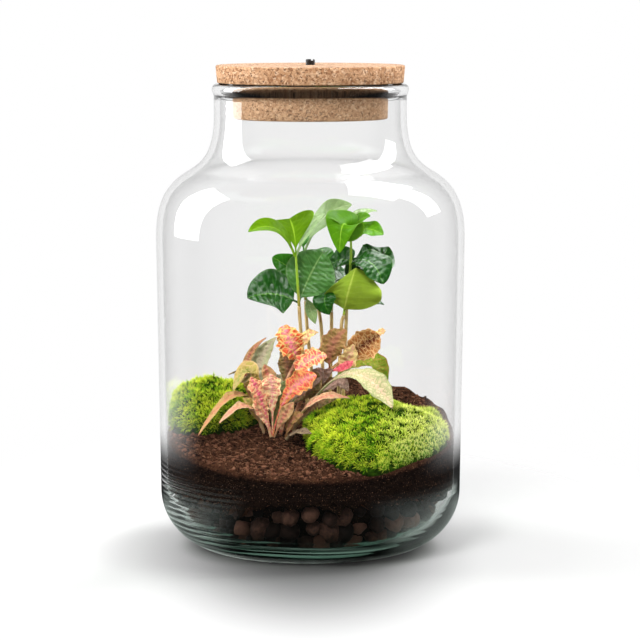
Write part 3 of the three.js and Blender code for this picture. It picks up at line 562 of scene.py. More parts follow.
def jar_outside():
    """The jar's outer profile from the middle of the base up to the neck's end: a flat foot, a
    round heel, a straight wall that leans out a little, a shoulder bend and the neck's flare."""
    j = JAR
    round_share = 0.5523
    foot, heel, body, neck = j["foot_radius"], j["heel_radius"], j["body_radius"], j["neck_radius"]
    rise, shoulder = j["heel_height"], j["shoulder_start"]
    bend = (j["bend_radius"], j["bend_height"])
    return np.concatenate([
        np.stack([np.linspace(0, foot, FOOT_POINTS), np.zeros(FOOT_POINTS)], -1),
        bezier((foot, 0), (foot + round_share * (heel - foot), 0), (heel, (1 - round_share) * rise),
               (heel, rise), 30),
        np.stack([np.linspace(heel, body, 26), np.linspace(rise, shoulder, 26)], -1)[1:],
        bezier((body, shoulder), (body, 214), (89, 225), bend, 26),
        bezier(bend, (66.7, 237.8), (60, 243.5), (neck, j["neck_start"]), 22),
        np.stack([np.full(6, neck), np.linspace(j["neck_start"], j["neck_end"], 6)], -1)[1:],
    ])


def jar_inside(clear=0.0):
    """The outer profile moved inwards along its normal by the wall, which thickens to the base."""
    outside = jar_outside()
    ahead = unit(np.gradient(outside, axis=0))
    low = np.clip(1 - outside[:, 1] / JAR["heel_height"], 0, 1)
    thick = JAR["wall"] + (JAR["base"] - JAR["wall"]) * low
    inside = outside + np.stack([-ahead[:, 1], ahead[:, 0]], -1) * (thick + clear)[:, None]
    inside[0, 0] = 0
    return inside


def inner_radius(height, clear=0.0):
    """The jar's inner radius at a height, less the clearance."""
    wall = jar_inside(clear)[FOOT_POINTS:]
    return np.interp(height, wall[:, 1], wall[:, 0])


def soil_height(x, y):
    """The soil's surface: a level that rises to the back, with low swells and small lumps."""
    swell = 1.1 * np.sin(x / 9 + 1) * np.cos(y / 11)
    lumps = 0.7 * np.sin(x / 4.6 - y / 5.3)
    return SOIL["level"] + SOIL["slope"] * y + swell + lumps


def moss_surface(cushion, bend, angle, lift=0.0):
    """A place on a cushion: bend runs from its top to its edge, and the edge is a soft oval, with
    a notch towards the back right."""
    cx, cy = cushion["centre"]
    out = np.sin(bend) ** 0.8
    edge = 1 + 0.05 * np.sin(2 * angle + cx) + 0.04 * np.sin(3 * angle + cy)
    edge = edge - cushion["notch"] * np.exp(4 * (np.cos(angle - 0.75) - 1))
    x = cx + np.cos(angle) * edge * (cushion["radii"][0] * out + lift * np.sin(bend))
    y = cy + np.sin(angle) * edge * (cushion["radii"][1] * out + lift * np.sin(bend))
    base = SOIL["level"] + SOIL["slope"] * y
    z = base + cushion["height"] * np.cos(bend) ** 0.75 + lift * np.cos(bend)
    return np.stack([x, y, z], -1)


def keep_in_glass(places, clear):
    """Places drawn in towards the axis until they clear the glass by that much."""
    drawn = places.copy()
    drawn[:, :2] *= np.minimum(1, inner_radius(places[:, 2], clear) / reach_of(places))[:, None]
    return drawn


def strewn(random, angle, gap, size):
    """Places at these angles, spread evenly over the soil's round and clear of the glass."""
    level = SOIL["level"] + SOIL["slope"] * SOIL["strewn"] * np.sin(angle)
    reach = np.sqrt(random.uniform(0, 1, len(angle))) * (inner_radius(level, gap) - size)
    return np.cos(angle) * reach, np.sin(angle) * reach


# Finishes

def glass_finish():
    """Clear glass, green where the base is thick, with shallow ripples round the heel that fade to
    the right. Lamps, and light from dull surfaces, shine straight through it."""
    paint = Paint("clear_glass")
    place = paint.place()
    x, _, z = paint.axes(place)
    level = z * 1000
    colour = paint.stops(level.ramp(0, 30), (0.0, "39564a"), (0.12, "7f9f90"), (0.4, "dfece4"),
                         (1.0, "fefefe"))
    turns = level * 1.9 + 5 * paint.noise(place, 14, 2)
    ripples = turns.math("SINE") * level.ramp(20, 60, 1, 0) * x.ramp(-0.03, 0.05, 1, 0.1)
    glass = paint.add("BsdfPrincipled", None, {
        "Base Color": colour, "Roughness": 0.0, "IOR": 1.5, "Transmission Weight": 1.0,
        "Normal": paint.bump(ripples, 0.00005),
    })
    clear = paint.add("BsdfTransparent", None, {"Color": "f6f8f6"})
    shadow, spread = paint.path("Is Shadow Ray"), paint.path("Is Diffuse Ray")
    return paint.end(paint.blend(shadow.math("MAXIMUM", shadow, spread), glass, clear))


def cork_finish():
    """Pressed cork: tan grains of one or two millimetres, each a little lighter or darker, with
    dark flecks of bark and small pits between them. Painted light makes the plug paler low down,
    where it shows through the neck, and painted shade turns it dark brown near the rim and nearly
    black in a band just under the flange."""
    paint = Paint("pressed_cork")
    place = paint.place()
    wander = paint.noise(place, 120, 3)
    grain = paint.axes(paint.cells(place, 620, out="Color"))[0]
    small = paint.axes(paint.cells(place, 1300, out="Color"))[1]
    tan = paint.stops(grain, (0.0, "8e6345"), (0.35, "af8562"), (0.7, "be9572"), (1.0, "d3b091"))
    fleck = (grain + 0.45 * small).ramp(1.24, 1.32)
    pits = paint.noise(place, 760, 3, 0.62).ramp(0.57, 0.65)
    bark = paint.noise(place, 300, 4, 0.75).ramp(0.63, 0.68)
    level = paint.axes(place)[2] * 1000
    under, top = LID["under"], LID["top"]
    tan = paint.layers(
        tan, (small.ramp(0.5, 1.0, 0, 0.5), "9d7150"), (wander.ramp(0.35, 0.7, 0, 0.35), "cfa682"),
        (fleck * 0.7, "5e3820"), (pits * 0.55, "5c3822"), (bark * 0.75, "4f2d19"),
        # Painted light: the coat ending in e6b99a makes the plug paler below 281 mm, where it shows through
        # the neck.
        (level.ramp(top - 0.6, top - 0.1, 0, 0.4), "857a70"), (level.ramp(276, 281, 0.2, 0), "e6b99a"),
    )
    # Painted shade: the plug is dark brown from 279.5 mm up to the flange, and nearly black in the band that
    # rim marks, just under the flange.
    shaded = paint.mix(level.ramp(under, under + 0.5), "4a3222", tan)
    rim = level.ramp(281.6, 283) * level.ramp(under - 0.2, under + 0.7, 1, 0)
    tan = paint.layers(tan, (level.ramp(279.5, 281.5, 0, 0.85), shaded), (rim, "0d0805"))
    height = paint.noise(place, 900, 3) - 0.9 * pits - 0.6 * bark
    return paint.finish(Base_Color=tan, Roughness=0.88, Specular_IOR_Level=0.1,
                        Normal=paint.bump(height, 0.0009))


def black_finish():
    """Moulded black plastic with a fine grain, a little greyer and duller where it has been touched."""
    paint = Paint("black_plastic")
    place = paint.place()
    touched = paint.noise(place, 300, 3).ramp(0.4, 0.65)
    return paint.finish(Base_Color=paint.mix(touched, "161617", "262627"), Roughness=0.38 + 0.15 * touched,
                        Normal=paint.bump(paint.noise(place, 2600, 2), 0.00005, 0.6))


def soil_finish(name, low, high, fleck):
    """Potting soil: dark brown crumbs in many tones, with paler fibres. It is nearly black where it
    is pressed to the glass under the surface."""
    paint = Paint(name)
    place = paint.place()
    fine = paint.noise(place, 900, 4, 0.7)
    coarse = paint.noise(place, 210, 3, 0.6)
    tone = (0.5 * fine + 0.2 * coarse + 0.3 * paint.attribute("shade")).ramp(0.36, 0.64)
    bright = paint.noise(place, 1200, 2, 0.8).ramp(0.62, 0.7, 0, 0.8)
    colour = paint.layers(low, (tone, high), (bright, fleck))
    x, y, z = paint.axes(place)
    wall = ((x * x + y * y) ** 0.5 * 1000).ramp(86.0, 88.0)
    under = (z * 1000 - y * 1000 * SOIL["slope"]).ramp(71.5, 74.5, 1, 0)
    dark = paint.layers("020101", (tone, "1a100b"), (bright, "6c4e3c"))
    colour = paint.mix(wall * under, colour, dark)
    return paint.finish(Base_Color=colour, Roughness=0.92, Specular_IOR_Level=0.0,
                        Normal=paint.bump(0.6 * fine + 0.4 * coarse, 0.0012))


def clay_finish():
    """Fired clay balls: dull brown skins, each of its own tone, with fine pores, and painted shade that makes
    them darker to the left.
    """
    paint = Paint("clay_balls")
    place = paint.place()
    rough = paint.noise(place, 420, 4, 0.65)
    tone = (0.6 * paint.attribute("shade") + 0.5 * rough).ramp(0.2, 0.95)
    colour = paint.stops(tone, (0.0, "120c0a"), (0.5, "2a1c17"), (1.0, "563c31"))
    pores = paint.noise(place, 1300, 3, 0.7).ramp(0.6, 0.72, 0, 0.6)
    # Painted shade: the balls are darker towards the left.
    left_painted_shade = paint.axes(place)[0].ramp(-0.075, 0.01, 0.5, 0.0)
    colour = paint.layers(colour, (pores, "120c0a"), (left_painted_shade, "0c0807"))
    return paint.finish(Base_Color=colour, Roughness=0.8, Specular_IOR_Level=0.05,
                        Normal=paint.bump(rough - 0.5 * pores, 0.0008, 0.7))


def moss_finish():
    """Moss leaflets: deep green at the foot and bright yellow-green at the tip, tuft by tuft, and
    pale straw yellow towards the right, partly the moss's own colour and partly painted light."""
    paint = Paint("moss_tufts")
    place = paint.place()
    shade = paint.attribute("shade")
    x, y, z = paint.axes(place)
    patch = paint.noise(place, 60, 2)
    # Towards the right: partly the moss's own straw colour, partly painted light.
    straw_and_painted_light = (x * 1000 + 40 * patch).ramp(50, 94)
    deep = paint.mix(shade, "102a00", "407400")
    low = ((z - y * SOIL["slope"]) * 1000).ramp(76, 86, 0.5, 0)
    light = paint.layers("74b40a", (0.8 * shade + 0.2 * patch, "f0f448"),
                         (0.8 * straw_and_painted_light, paint.mix(shade, "dce850", "ffffa4")), (low, "2c5c00"))
    colour = paint.mix(paint.attribute("tip").ramp(0.0, 0.8), deep, light)
    return paint.finish(Base_Color=colour, Roughness=0.6, Specular_IOR_Level=0.06)


def moss_ground_finish():
    """The dark mottled green between the tufts."""
    paint = Paint("moss_shade")
    mottle = paint.noise(paint.place(), 500, 3).ramp(0.3, 0.7)
    return paint.finish(Base_Color=paint.mix(mottle, "142204", "2c4a08"), Roughness=0.9,
                        Specular_IOR_Level=0.0)


def wood_stem_finish():
    """Young bark: tan with pale and brown streaks along the stem."""
    paint = Paint("young_bark")
    streaks = paint.noise(paint.stretch(paint.place(), (1, 1, 0.25)), 900, 3).ramp(0.3, 0.7)
    return paint.finish(Base_Color=paint.mix(streaks, "a9854f", "d8bf86"), Roughness=0.65,
                        Normal=paint.bump(streaks, 0.0002, 0.6))


def green_stem_finish():
    """A green stem that is yellower towards the bark."""
    paint = Paint("green_stem")
    colour = paint.mix(paint.attribute("along").ramp(0.0, 0.5), "a89a3c", "93b52a")
    return paint.finish(Base_Color=colour, Roughness=0.45)


def net_stem_finish():
    """The net-leaf plant's branches: rosy, mottled with straw."""
    paint = Paint("net_leaf_stem")
    mottle = paint.noise(paint.place(), 600, 2).ramp(0.35, 0.65)
    return paint.finish(Base_Color=paint.mix(mottle, "b86a55", "d7a884"), Roughness=0.55)


def coffee_leaf_finish():
    """A glossy leaf: the blade's own green, with a paler midrib and side veins that curve to the
    tip, and quilted between them. The underside is paler and duller."""
    paint = Paint("coffee_leaf")
    place = paint.place()
    field, vein = paint.attribute("field", "Color"), paint.attribute("vein", "Color")
    share, top, dull = paint.attribute("share"), paint.attribute("top"), paint.attribute("dull")
    side = paint.attribute("across").size()
    drift = paint.noise(place, 70, 2)
    phase = (share * 7 - side * 1.5 + 1.1 * drift + 40).math("FRACT")
    laterals = (phase - 0.5).size().ramp(0.455, 0.5) * side.ramp(0.6, 0.95, 1, 0)
    mottle = paint.noise(place, 160, 3).ramp(0.3, 0.7)
    midrib = 0.75 * side.ramp(0.015, 0.05, 1, 0)
    colour = paint.layers(field, (0.4 * mottle, paint.mix(0.6, field, "0a2406")), (0.35 * laterals, vein),
                          (midrib, vein))
    colour = paint.layers(colour, ((1 - top) * 0.6, paint.mix(0.4, colour, "97ab4c")),
                          (side.ramp(0.9, 1.0, 0, 0.35), vein))
    quilt = (phase - 0.5).size().ramp(0.5, 0.05)
    height = (1 - dull) * (0.28 * quilt + 2.0 * paint.noise(place, 75, 2))
    height = height + 0.2 * paint.noise(place, 500, 2)
    return paint.finish(Base_Color=colour, Roughness=0.4 + 0.2 * dull, Normal=paint.bump(height, 0.0012, 0.9),
                        Specular_IOR_Level=0.12, Coat_Weight=1 - dull, Coat_Roughness=0.18)


def net_leaf_finish():
    """A crinkled leaf with a net of veins: the veins stand in one colour on a field of another,
    and a third colour spreads from the middle of the blade."""
    paint = Paint("net_leaf")
    field, vein, centre = (paint.attribute(key, "Color") for key in ("field", "vein", "centre"))
    side = paint.attribute("across").size()
    flat = paint.add("TexCoord", out="UV")
    wander = paint.noise(flat, 0.35, 2)
    cells = paint.cells(paint.stretch(flat, (1, 0.7, 1)), 0.4, "DISTANCE_TO_EDGE")
    mesh = cells.ramp(0.03, 0.11, 1, 0) * paint.attribute("net")
    phase = (paint.attribute("share") * 7 - side * 1.3 + 40).math("FRACT")
    laterals = (phase - 0.5).size().ramp(0.38, 0.5) * side.ramp(0.7, 1.0, 1, 0)
    colour = paint.layers(
        field, ((side + 0.7 * wander).ramp(0.35, 0.95, 1, 0), centre),
        (wander.ramp(0.55, 0.75, 0, 0.3), "7d6a3a"), (mesh, vein), (0.5 * laterals, vein),
        (0.6 * side.ramp(0.03, 0.1, 1, 0), centre), (side.ramp(0.84, 1.0, 0, 0.8), vein),
        ((1 - paint.attribute("top")) * 0.35, "b9a383"),
    )
    height = cells.ramp(0.0, 0.5) + 0.3 * wander
    return paint.finish(Base_Color=colour, Roughness=0.5, Normal=paint.bump(height, 0.0005, 0.8),
                        Specular_IOR_Level=0.08)


def floor_finish():
    """A pale floor that fades out with distance, so the ground meets the white surround. A soft shadow
    is painted on it, darker in an oval about the jar's foot and in front of it and darker still under
    the heel, and painted light makes it paler at the far left, where the jar's own shadow falls. What
    the glass mirrors of it is a painted reflection, dark but pale beside the foot, and a ring about the
    foot glows through the glass, painted light in place of light the glass focuses."""
    paint = Paint("pale_floor")
    x, y, _ = paint.axes(paint.place())
    reach = (x * x + y * y) ** 0.5
    # Painted shadow: the floor is darker in a soft oval about the jar's foot and in front of it, and darker
    # still under the heel.
    oval = ((x * x) * 6 + (y + 0.03) * (y + 0.03)) ** 0.5
    # Painted light: the floor is paler at the far left, where the jar's own shadow falls.
    left = x.ramp(-0.16, -0.09, 1, 0) * y.ramp(-0.14, -0.02)
    grey = paint.layers("565656", (oval.ramp(0.06, 0.27), "a3a3a3"),
                        (reach.ramp(0.06, 0.085, 1, 0), "5a5a5a"), (left, "c8c8c8"))
    turn = x / reach
    beside = turn.ramp(-0.95, -0.6, 1, 0) + turn.ramp(0.55, 0.9, 0, 0.85)
    # Painted reflection: what the glass mirrors of the floor is dark, but pale beside the foot and right by
    # it.
    painted_mirror_image = paint.layers("161918", (beside, "8c9490"), (reach.ramp(0.06, 0.072, 1, 0), "e8f0ec"),
                         (reach.ramp(0.15, 0.32), "181818"))
    mirrored = paint.path("Glossy Depth").ramp(0.2, 0.8)
    dull = paint.add("BsdfDiffuse", None, {"Color": paint.mix(mirrored, grey, painted_mirror_image)})
    # Painted light: a glowing ring about the foot, seen only through the glass, in place of light the glass
    # focuses.
    painted_caustic_glow = paint.add("Emission", None, {"Color": "dcece4", "Strength": 0.9})
    through = paint.path("Transmission Depth").ramp(0.2, 0.8)
    ring = reach.ramp(0.057, 0.062) * reach.ramp(0.066, 0.072, 1, 0) * through
    clear = paint.add("BsdfTransparent", None, {"Color": "ffffff"})
    distance = ((x * x) * 3 + y * y) ** 0.5
    fade = (1 - mirrored) * distance.ramp(0.28, 0.5) + mirrored * reach.ramp(0.32, 0.52)
    return paint.end(paint.blend(fade, paint.blend(ring, dull, painted_caustic_glow), clear))


# The jar and its lid

def make_jar(material):
    """The glass: outer profile, rounded rim and inner profile, turned about Z as one closed skin."""
    j = JAR
    rim, end = (j["rim_radius"], j["rim_height"]), j["neck_end"]
    lip = [
        bezier((j["neck_radius"], end), (60.8, 281.5), (61.2, rim[1]), rim, 14),
        bezier(rim, (55.2, rim[1]), (55.2, 283.2), (55.2, end), 10),
    ]
    inside = jar_inside()
    inside = inside[inside[:, 1] < end - 0.5]
    outline = np.concatenate([jar_outside(), *lip, inside[::-1]])
    nodes = [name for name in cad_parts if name.startswith("glass_")]
    new_piece("jar_glass", turned(outline, 256), material, nodes)


def make_lid(material):
    """The cork: a flange with eased edges over a plug, turned about Z, with a pit in its top for
    the button. Wear rounds its sides unevenly."""
    seal, foot, under, top = (LID[key] for key in ("plug_radius", "plug_bottom", "under", "top"))
    low, high, pit = (LID[key] for key in ("under_radius", "top_radius", "pit_radius"))
    part = turned([
        (0, foot), (20, foot), (40, foot), (seal - 1.6, foot), (seal - 0.8, foot + 0.25),
        (seal - 0.4, foot + 0.9), (seal - 0.2, 275), (seal, under), (seal + 2, under), (low - 0.8, under),
        (low - 0.2, under + 0.3), (low, under + 0.9), (57.4, 292), (high, top - 1), (high - 0.25, top - 0.3),
        (high - 0.9, top), (high - 3, top), (40, top), (20, top), (pit + 0.4, top), (pit, top - 0.4),
        (pit, LID["pit_floor"]), (0, LID["pit_floor"]),
    ], 192)
    places = part["places"]
    wear = (0.16 * waves(places, 3.0, 31) + 0.12 * waves(places, 1.4, 32)).clip(-0.4, 0)
    reach = reach_of(places)
    places[:, :2] *= 1 + (wear * (reach > 44) / reach)[:, None]
    new_piece("lid_cork", part, material, ["cork_lid"])


# Soil, clay and moss

def make_soil(material):
    """A bed whose top follows the soil's surface and whose side lies against the glass, down to a
    lower edge that has fallen unevenly among the clay."""
    random = np.random.default_rng(4)
    sides, top_rows, side_rows = 288, 64, 30
    angle = full_turn(sides)
    margin = inner_radius(SOIL["level"] + SOIL["slope"] * SOIL["reach"] * np.sin(angle), SOIL["gap"])
    rows = []
    for share in np.linspace(0, 1, top_rows):
        row = around(angle, share * margin, 0.0)
        row[:, 2] = soil_height(row[:, 0], row[:, 1])
        rows.append(row)
    edge = rows[-1]
    fallen = np.abs(waves(edge[:, :2], 17, 14) + 0.5 * waves(edge[:, :2], 6, 15)) * 2.6
    for share in np.linspace(0, 1, side_rows)[1:]:
        z = edge[:, 2] + (SOIL["bottom"] - fallen - edge[:, 2]) * share
        rows.append(around(angle, inner_radius(z, SOIL["gap"]), z))
    rows.append(np.broadcast_to([0, 0, SOIL["bottom"] - fallen.mean()], (sides, 3)))
    places = np.array(rows)
    rough = waves(places, 7.5, 11) * 0.5 + waves(places, 3.2, 12) * 0.35 + waves(places, 1.5, 13) * 0.2
    top = (np.arange(len(rows)) < top_rows - 2)[:, None]
    places[..., 2] += np.where(top, rough * 0.9, 0)
    pressed = np.where(top, 0, np.abs(rough) * 0.35)
    places[..., :2] *= (1 - np.minimum(pressed / reach_of(places), 0.5))[..., None]
    part = {
        "places": places.reshape(-1, 3),
        "faces": round_faces(len(rows), sides)[:, ::-1],
        "attributes": {"shade": random.uniform(0.3, 0.7, places.shape[:2]).ravel()},
    }
    new_piece("soil_bed", part, material, ["soil"])


def make_crumbs(material):
    """Crumbs of soil, small lumpy balls strewn over the bed's top."""
    random = np.random.default_rng(8)
    count = CRUMBS["count"]
    form, faces = ball(0)
    form = form * (1 + 0.2 * waves(form, 1.2, 3))[:, None]
    angle = random.uniform(0, 2 * np.pi, count)
    sizes = random.gamma(2.4, 0.22, count).clip(CRUMBS["smallest"], CRUMBS["largest"])
    x, y = strewn(random, angle, CRUMBS["gap"], 1.1 * sizes)
    places = np.stack([x, y, soil_height(x, y) + sizes * random.uniform(-0.1, 0.45, count)], -1)
    spread = sizes[:, None] * random.uniform(0.7, 1.15, (count, 3))
    turns = random_turns(count, random)
    part = copies(form, faces, places, turns, spread, random.uniform(0, 1, count))
    new_piece("soil_crumbs", part, material, [])


def make_fibres(material):
    """Thin bark fibres that lie on the soil: slim four-sided spindles."""
    random = np.random.default_rng(21)
    count = FIBRES["count"]
    form = np.array([(-1, 0, 0), (0, 1, 0), (0, 0, 1), (0, -1, 0), (0, 0, -1), (1, 0.3, 0.6)], float)
    faces = np.array([(0, 2, 1), (0, 3, 2), (0, 4, 3), (0, 1, 4), (5, 1, 2), (5, 2, 3), (5, 3, 4), (5, 4, 1)])
    angle = random.uniform(0, 2 * np.pi, count)
    length = random.uniform(FIBRES["shortest"], FIBRES["longest"], count)
    x, y = strewn(random, angle, FIBRES["gap"], length)
    places = np.stack([x, y, soil_height(x, y) + random.uniform(0.3, 1.4, count)], -1)
    heading = random.uniform(0, 2 * np.pi, count)
    tilt = random.normal(0, 0.3, count)
    ahead = around(heading, np.cos(tilt), np.sin(tilt))
    side = np.stack([-np.sin(heading), np.cos(heading), np.zeros(count)], -1)
    turns = np.stack([ahead, side, np.cross(ahead, side)], -1)
    thin = random.uniform(0.1, 0.28, count)
    part = copies(form, faces, places, turns, np.stack([length, thin, thin], -1), random.uniform(0, 1, count))
    new_piece("soil_fibres", part, material, [])


def make_clay(material):
    """Rows of clay balls behind the glass. Each ball is a lumpy sphere."""
    random = np.random.default_rng(5)
    form, faces = ball(2)
    places, sizes = [], []
    for row, (count, sunk) in enumerate(CLAY_ROWS):
        angle = (np.arange(count) + 0.5 * row + random.uniform(-0.22, 0.22, count)) * 2 * np.pi / count
        size = CLAY["radius"] * random.uniform(0.72, 1.12, count)
        z = CLAY["first_row"] + CLAY["row_step"] * row + random.uniform(-1.8, 1.8, count)
        deep = random.uniform(0, 1.6, count) + 6 * (random.uniform(size=count) < sunk)
        reach = inner_radius(z - 2, CLAY["clear"]) - size - deep
        places.append(around(angle, reach, z))
        sizes.append(size)
    places, sizes = np.concatenate(places), np.concatenate(sizes)
    lump = 1 + 0.06 * waves(form, 1.3, 2) + 0.03 * waves(form, 0.6, 4)
    spread = sizes[:, None] * random.uniform(0.88, 1.06, (len(sizes), 3))
    turns = random_turns(len(sizes), random)
    part = copies(form * lump[:, None], faces, places, turns, spread, random.uniform(0, 1, len(sizes)))
    part["places"][:, 2] = part["places"][:, 2].clip(CLAY["bottom"], CLAY["top"])
    part["places"] = keep_in_glass(part["places"], CLAY["clear"])
    new_piece("clay_balls", part, material, ["clay_granules"])


def make_core(material):
    """The dark inside of the clay layer: a turned body that keeps well behind the glass."""
    z = np.linspace(CLAY["core_bottom"], CLAY["core_top"], 18)
    reach = inner_radius(z, CLAY["clear"]) - CLAY["core"]
    part = turned(np.concatenate([[(0, z[0])], np.stack([reach, z], -1), [(0, z[-1])]]), 96)
    part["attributes"] = {"shade": np.full(len(part["places"]), 0.1)}
    new_piece("clay_core", part, material, [])


def moss_star(random):
    """One moss tuft: slim leaflets, each a four-cornered spike, that fan out from one foot. Each
    point has a tip, from 0 to 1, and a tone that is its leaflet's own."""
    leaflets, wide = TUFT["leaflets"], TUFT["half_width"]
    lean = np.concatenate([[0.1], random.uniform(0.25, 1.05, leaflets - 1)])
    turn = np.arange(leaflets) * 2.4
    ahead = around(turn, np.sin(lean), np.cos(lean))
    side = np.stack([-np.sin(turn), np.cos(turn), np.zeros(leaflets)], -1)
    other = np.cross(ahead, side)
    length = random.uniform(0.8, 1.15, leaflets)[:, None]
    foot = ahead * 0.1
    corners = np.stack([foot + side * wide, foot - side * 0.5 * wide + other * 0.8 * wide,
                        foot - side * 0.5 * wide - other * 0.8 * wide, ahead * length], 1)
    faces = np.array([(0, 1, 3), (1, 2, 3), (2, 0, 3), (0, 2, 1)])
    starts = (np.arange(leaflets) * 4)[:, None, None]
    tips = np.tile([0.0, 0.0, 0.0, 1.0], leaflets)
    tones = np.repeat(random.uniform(-0.55, 0.55, leaflets), 4)
    return corners.reshape(-1, 3), (faces[None] + starts).reshape(-1, 3), tips, tones


def make_moss(cushion, material, ground):
    """A cushion: a dark mound, and star tufts set evenly on it that lean with its slope."""
    name, count = cushion["name"], cushion["tufts"]
    random = np.random.default_rng(len(name) * 7)
    rings, sides = 26, 96
    bend = np.linspace(0.01, 1.56, rings)[:, None]
    angle = full_turn(sides)[None]
    mound = moss_surface(cushion, bend, np.broadcast_to(angle, (rings, sides)), -1.4)
    mound += (waves(mound, 9, 5) * 0.7)[..., None] * np.array([0, 0, 1])
    low = mound[-1:] - np.array([0, 0, 4.0])
    ends = [np.repeat(row.mean(1, keepdims=True), sides, 1) for row in (mound[:1], low)]
    skin = np.concatenate([ends[0], mound, low, ends[1]]).reshape(-1, 3)
    part = {"places": keep_in_glass(skin, 1.2), "faces": round_faces(rings + 3, sides)[:, ::-1]}
    new_piece(name + "_mound", part, ground, [name])
    level = np.sqrt((np.arange(count) + 0.5) / count)
    bend = (1.5 * level + random.normal(0, 0.02, count)).clip(0.01, 1.54)
    spin = np.arange(count) * GOLDEN_ANGLE + random.normal(0, 0.02, count)
    swell = 0.9 * waves(moss_surface(cushion, bend, spin), 11, 6)
    foot = moss_surface(cushion, bend, spin, -2.2 + swell)
    axis = unit(moss_surface(cushion, bend, spin, 6.0) - moss_surface(cushion, bend, spin))
    axis = unit(axis + (random.normal(0, 0.16, axis.shape) + np.array([0, 0, 0.4])))
    side = unit(np.cross(axis, random.normal(size=axis.shape)))
    turns = np.stack([side, np.cross(axis, side), axis], -1)
    form, form_faces, tips, tones = moss_star(random)
    sizes = random.uniform(3.5, 4.9, (count, 1)) * np.ones(3)
    shade = (0.6 + 0.2 * waves(foot, 14, 9) + random.normal(0, 0.32, count)).clip(0, 1)
    part = copies(form, form_faces, foot, turns, sizes, shade)
    part["attributes"]["tip"] = np.tile(tips, count)
    part["attributes"]["shade"] += np.tile(tones, count)
    part["places"] = keep_in_glass(part["places"], 0.5)
    new_piece(name + "_tufts", part, material, [], smooth=False)


# Leaves and stems

def leaf(spec, crinkle, frill=0.0, quilt=0.0):
    """A leaf as two sheets that meet at the margin. Its midrib is a curve with one bend. The half
    width follows a sine arch moved to the belly's place, with a ragged margin where it is frilled.
    The blade is cupped, its margin waves, and sweep moves each margin back along the midrib. Its
    petiole and midrib are thicker. Crinkle raises small bubbles all over it, quilt raises the blade
    between side veins, and frill is a short ruffle at the margin."""
    rows, columns = 56, 19
    base, middle, tip = (np.array(p, float) for p in spec["spine"])
    bow = 2 * middle - (base + tip) / 2
    along = np.linspace(0, 1, rows)[:, None, None]
    midrib = (1 - along) ** 2 * base + 2 * (1 - along) * along * bow + along ** 2 * tip
    ahead = 2 * (1 - along) * (bow - base) + 2 * along * (tip - bow)
    length = np.linalg.norm(ahead, axis=-1).mean()
    ahead = unit(ahead)
    side = unit(np.cross(ahead, np.array(spec["facing"], float)))
    up = np.cross(side, ahead)
    share = np.clip((along - spec["petiole"]) / (1 - spec["petiole"]), 0, 1)
    skew = math.log(0.5) / math.log(spec["belly"])
    arch = np.sin(np.pi * share ** skew).clip(0, 1) ** spec["blunt"]
    ragged = np.sin(2 * np.pi * 4 * share) + np.sin(2 * np.pi * 7.3 * share + 1)
    half = np.maximum(spec["width"] * arch * (1 + 0.09 * min(frill, 1) * ragged), 0.5)
    cup = math.radians(spec["cup"])
    across = np.sin(np.linspace(-np.pi / 2, np.pi / 2, columns))[None, :, None]
    reach = np.abs(across)
    swing = np.sin(2 * np.pi * 2 * share + np.sign(across)) * spec["wave"] * arch
    rise = reach * half * math.sin(cup) + swing * across ** 2
    ruffle = np.sin(2 * np.pi * (5 * share + 0.4 * np.sign(across)))
    ruffle = ruffle + 0.6 * np.sin(2 * np.pi * 9 * share + 2 * np.sign(across))
    rise = rise + frill * ruffle * arch * across ** 4
    flat = np.concatenate([along * length * np.ones_like(across), across * half], -1)
    bubbles = waves(flat, 3.4, int(spec["width"] * 10))[..., None]
    rise = rise + crinkle * bubbles * arch * (1 - across ** 4)
    ribs = np.abs(np.sin(np.pi * (share * 8 - reach * 1.6)))
    rise = rise + quilt * ribs * arch * np.minimum(1, half / 6) * (1 - across ** 4)
    swept = np.where(across > 0, spec["sweep"][1], spec["sweep"][0]) * half * reach ** 1.5
    skin = midrib + side * across * half * math.cos(cup) + up * rise - ahead * swept
    thick = 0.5 * LEAF_THICKNESS * (1 - across ** 6)
    stalk = (0.55 + 0.35 * (1 - along)) * np.exp(-(across * half / 0.9) ** 2) * (1 - 0.8 * share)
    below = skin - up * (thick + stalk)
    ring = np.concatenate([skin + up * (thick + 0.4 * stalk), below[:, -2:0:-1]], 1)
    ring[0], ring[-1] = ring[0].mean(0), ring[-1].mean(0)
    around = ring.shape[1]
    spread = np.concatenate([across[0, :, 0], across[0, -2:0:-1, 0]])
    top = np.concatenate([np.ones(columns), np.zeros(around - columns)])
    uv = np.stack([np.broadcast_to(along[:, 0] * length, (rows, around)), half[:, 0] * spread[None]], -1)
    grid = np.ones((rows, around))
    random = np.random.default_rng(int(abs(base).sum() * 10 + spec["width"]))
    return {
        "places": ring.reshape(-1, 3),
        "faces": round_faces(rows, around),
        "uv": uv.reshape(-1, 2) + random.uniform(0, 90),
        "attributes": {
            "across": (grid * spread).ravel(),
            "share": (grid * share[:, 0]).ravel(),
            "top": (grid * top).ravel(),
        },
    }


def tinted(part, colours, numbers):
    """The part with colours and numbers that are the same all over it as attributes."""
    count = len(part["places"])
    for key, code in colours.items():
        part["attributes"][key] = np.tile(rgb(code), (count, 1))
    for key, value in numbers.items():
        part["attributes"][key] = np.full(count, value)
    return part


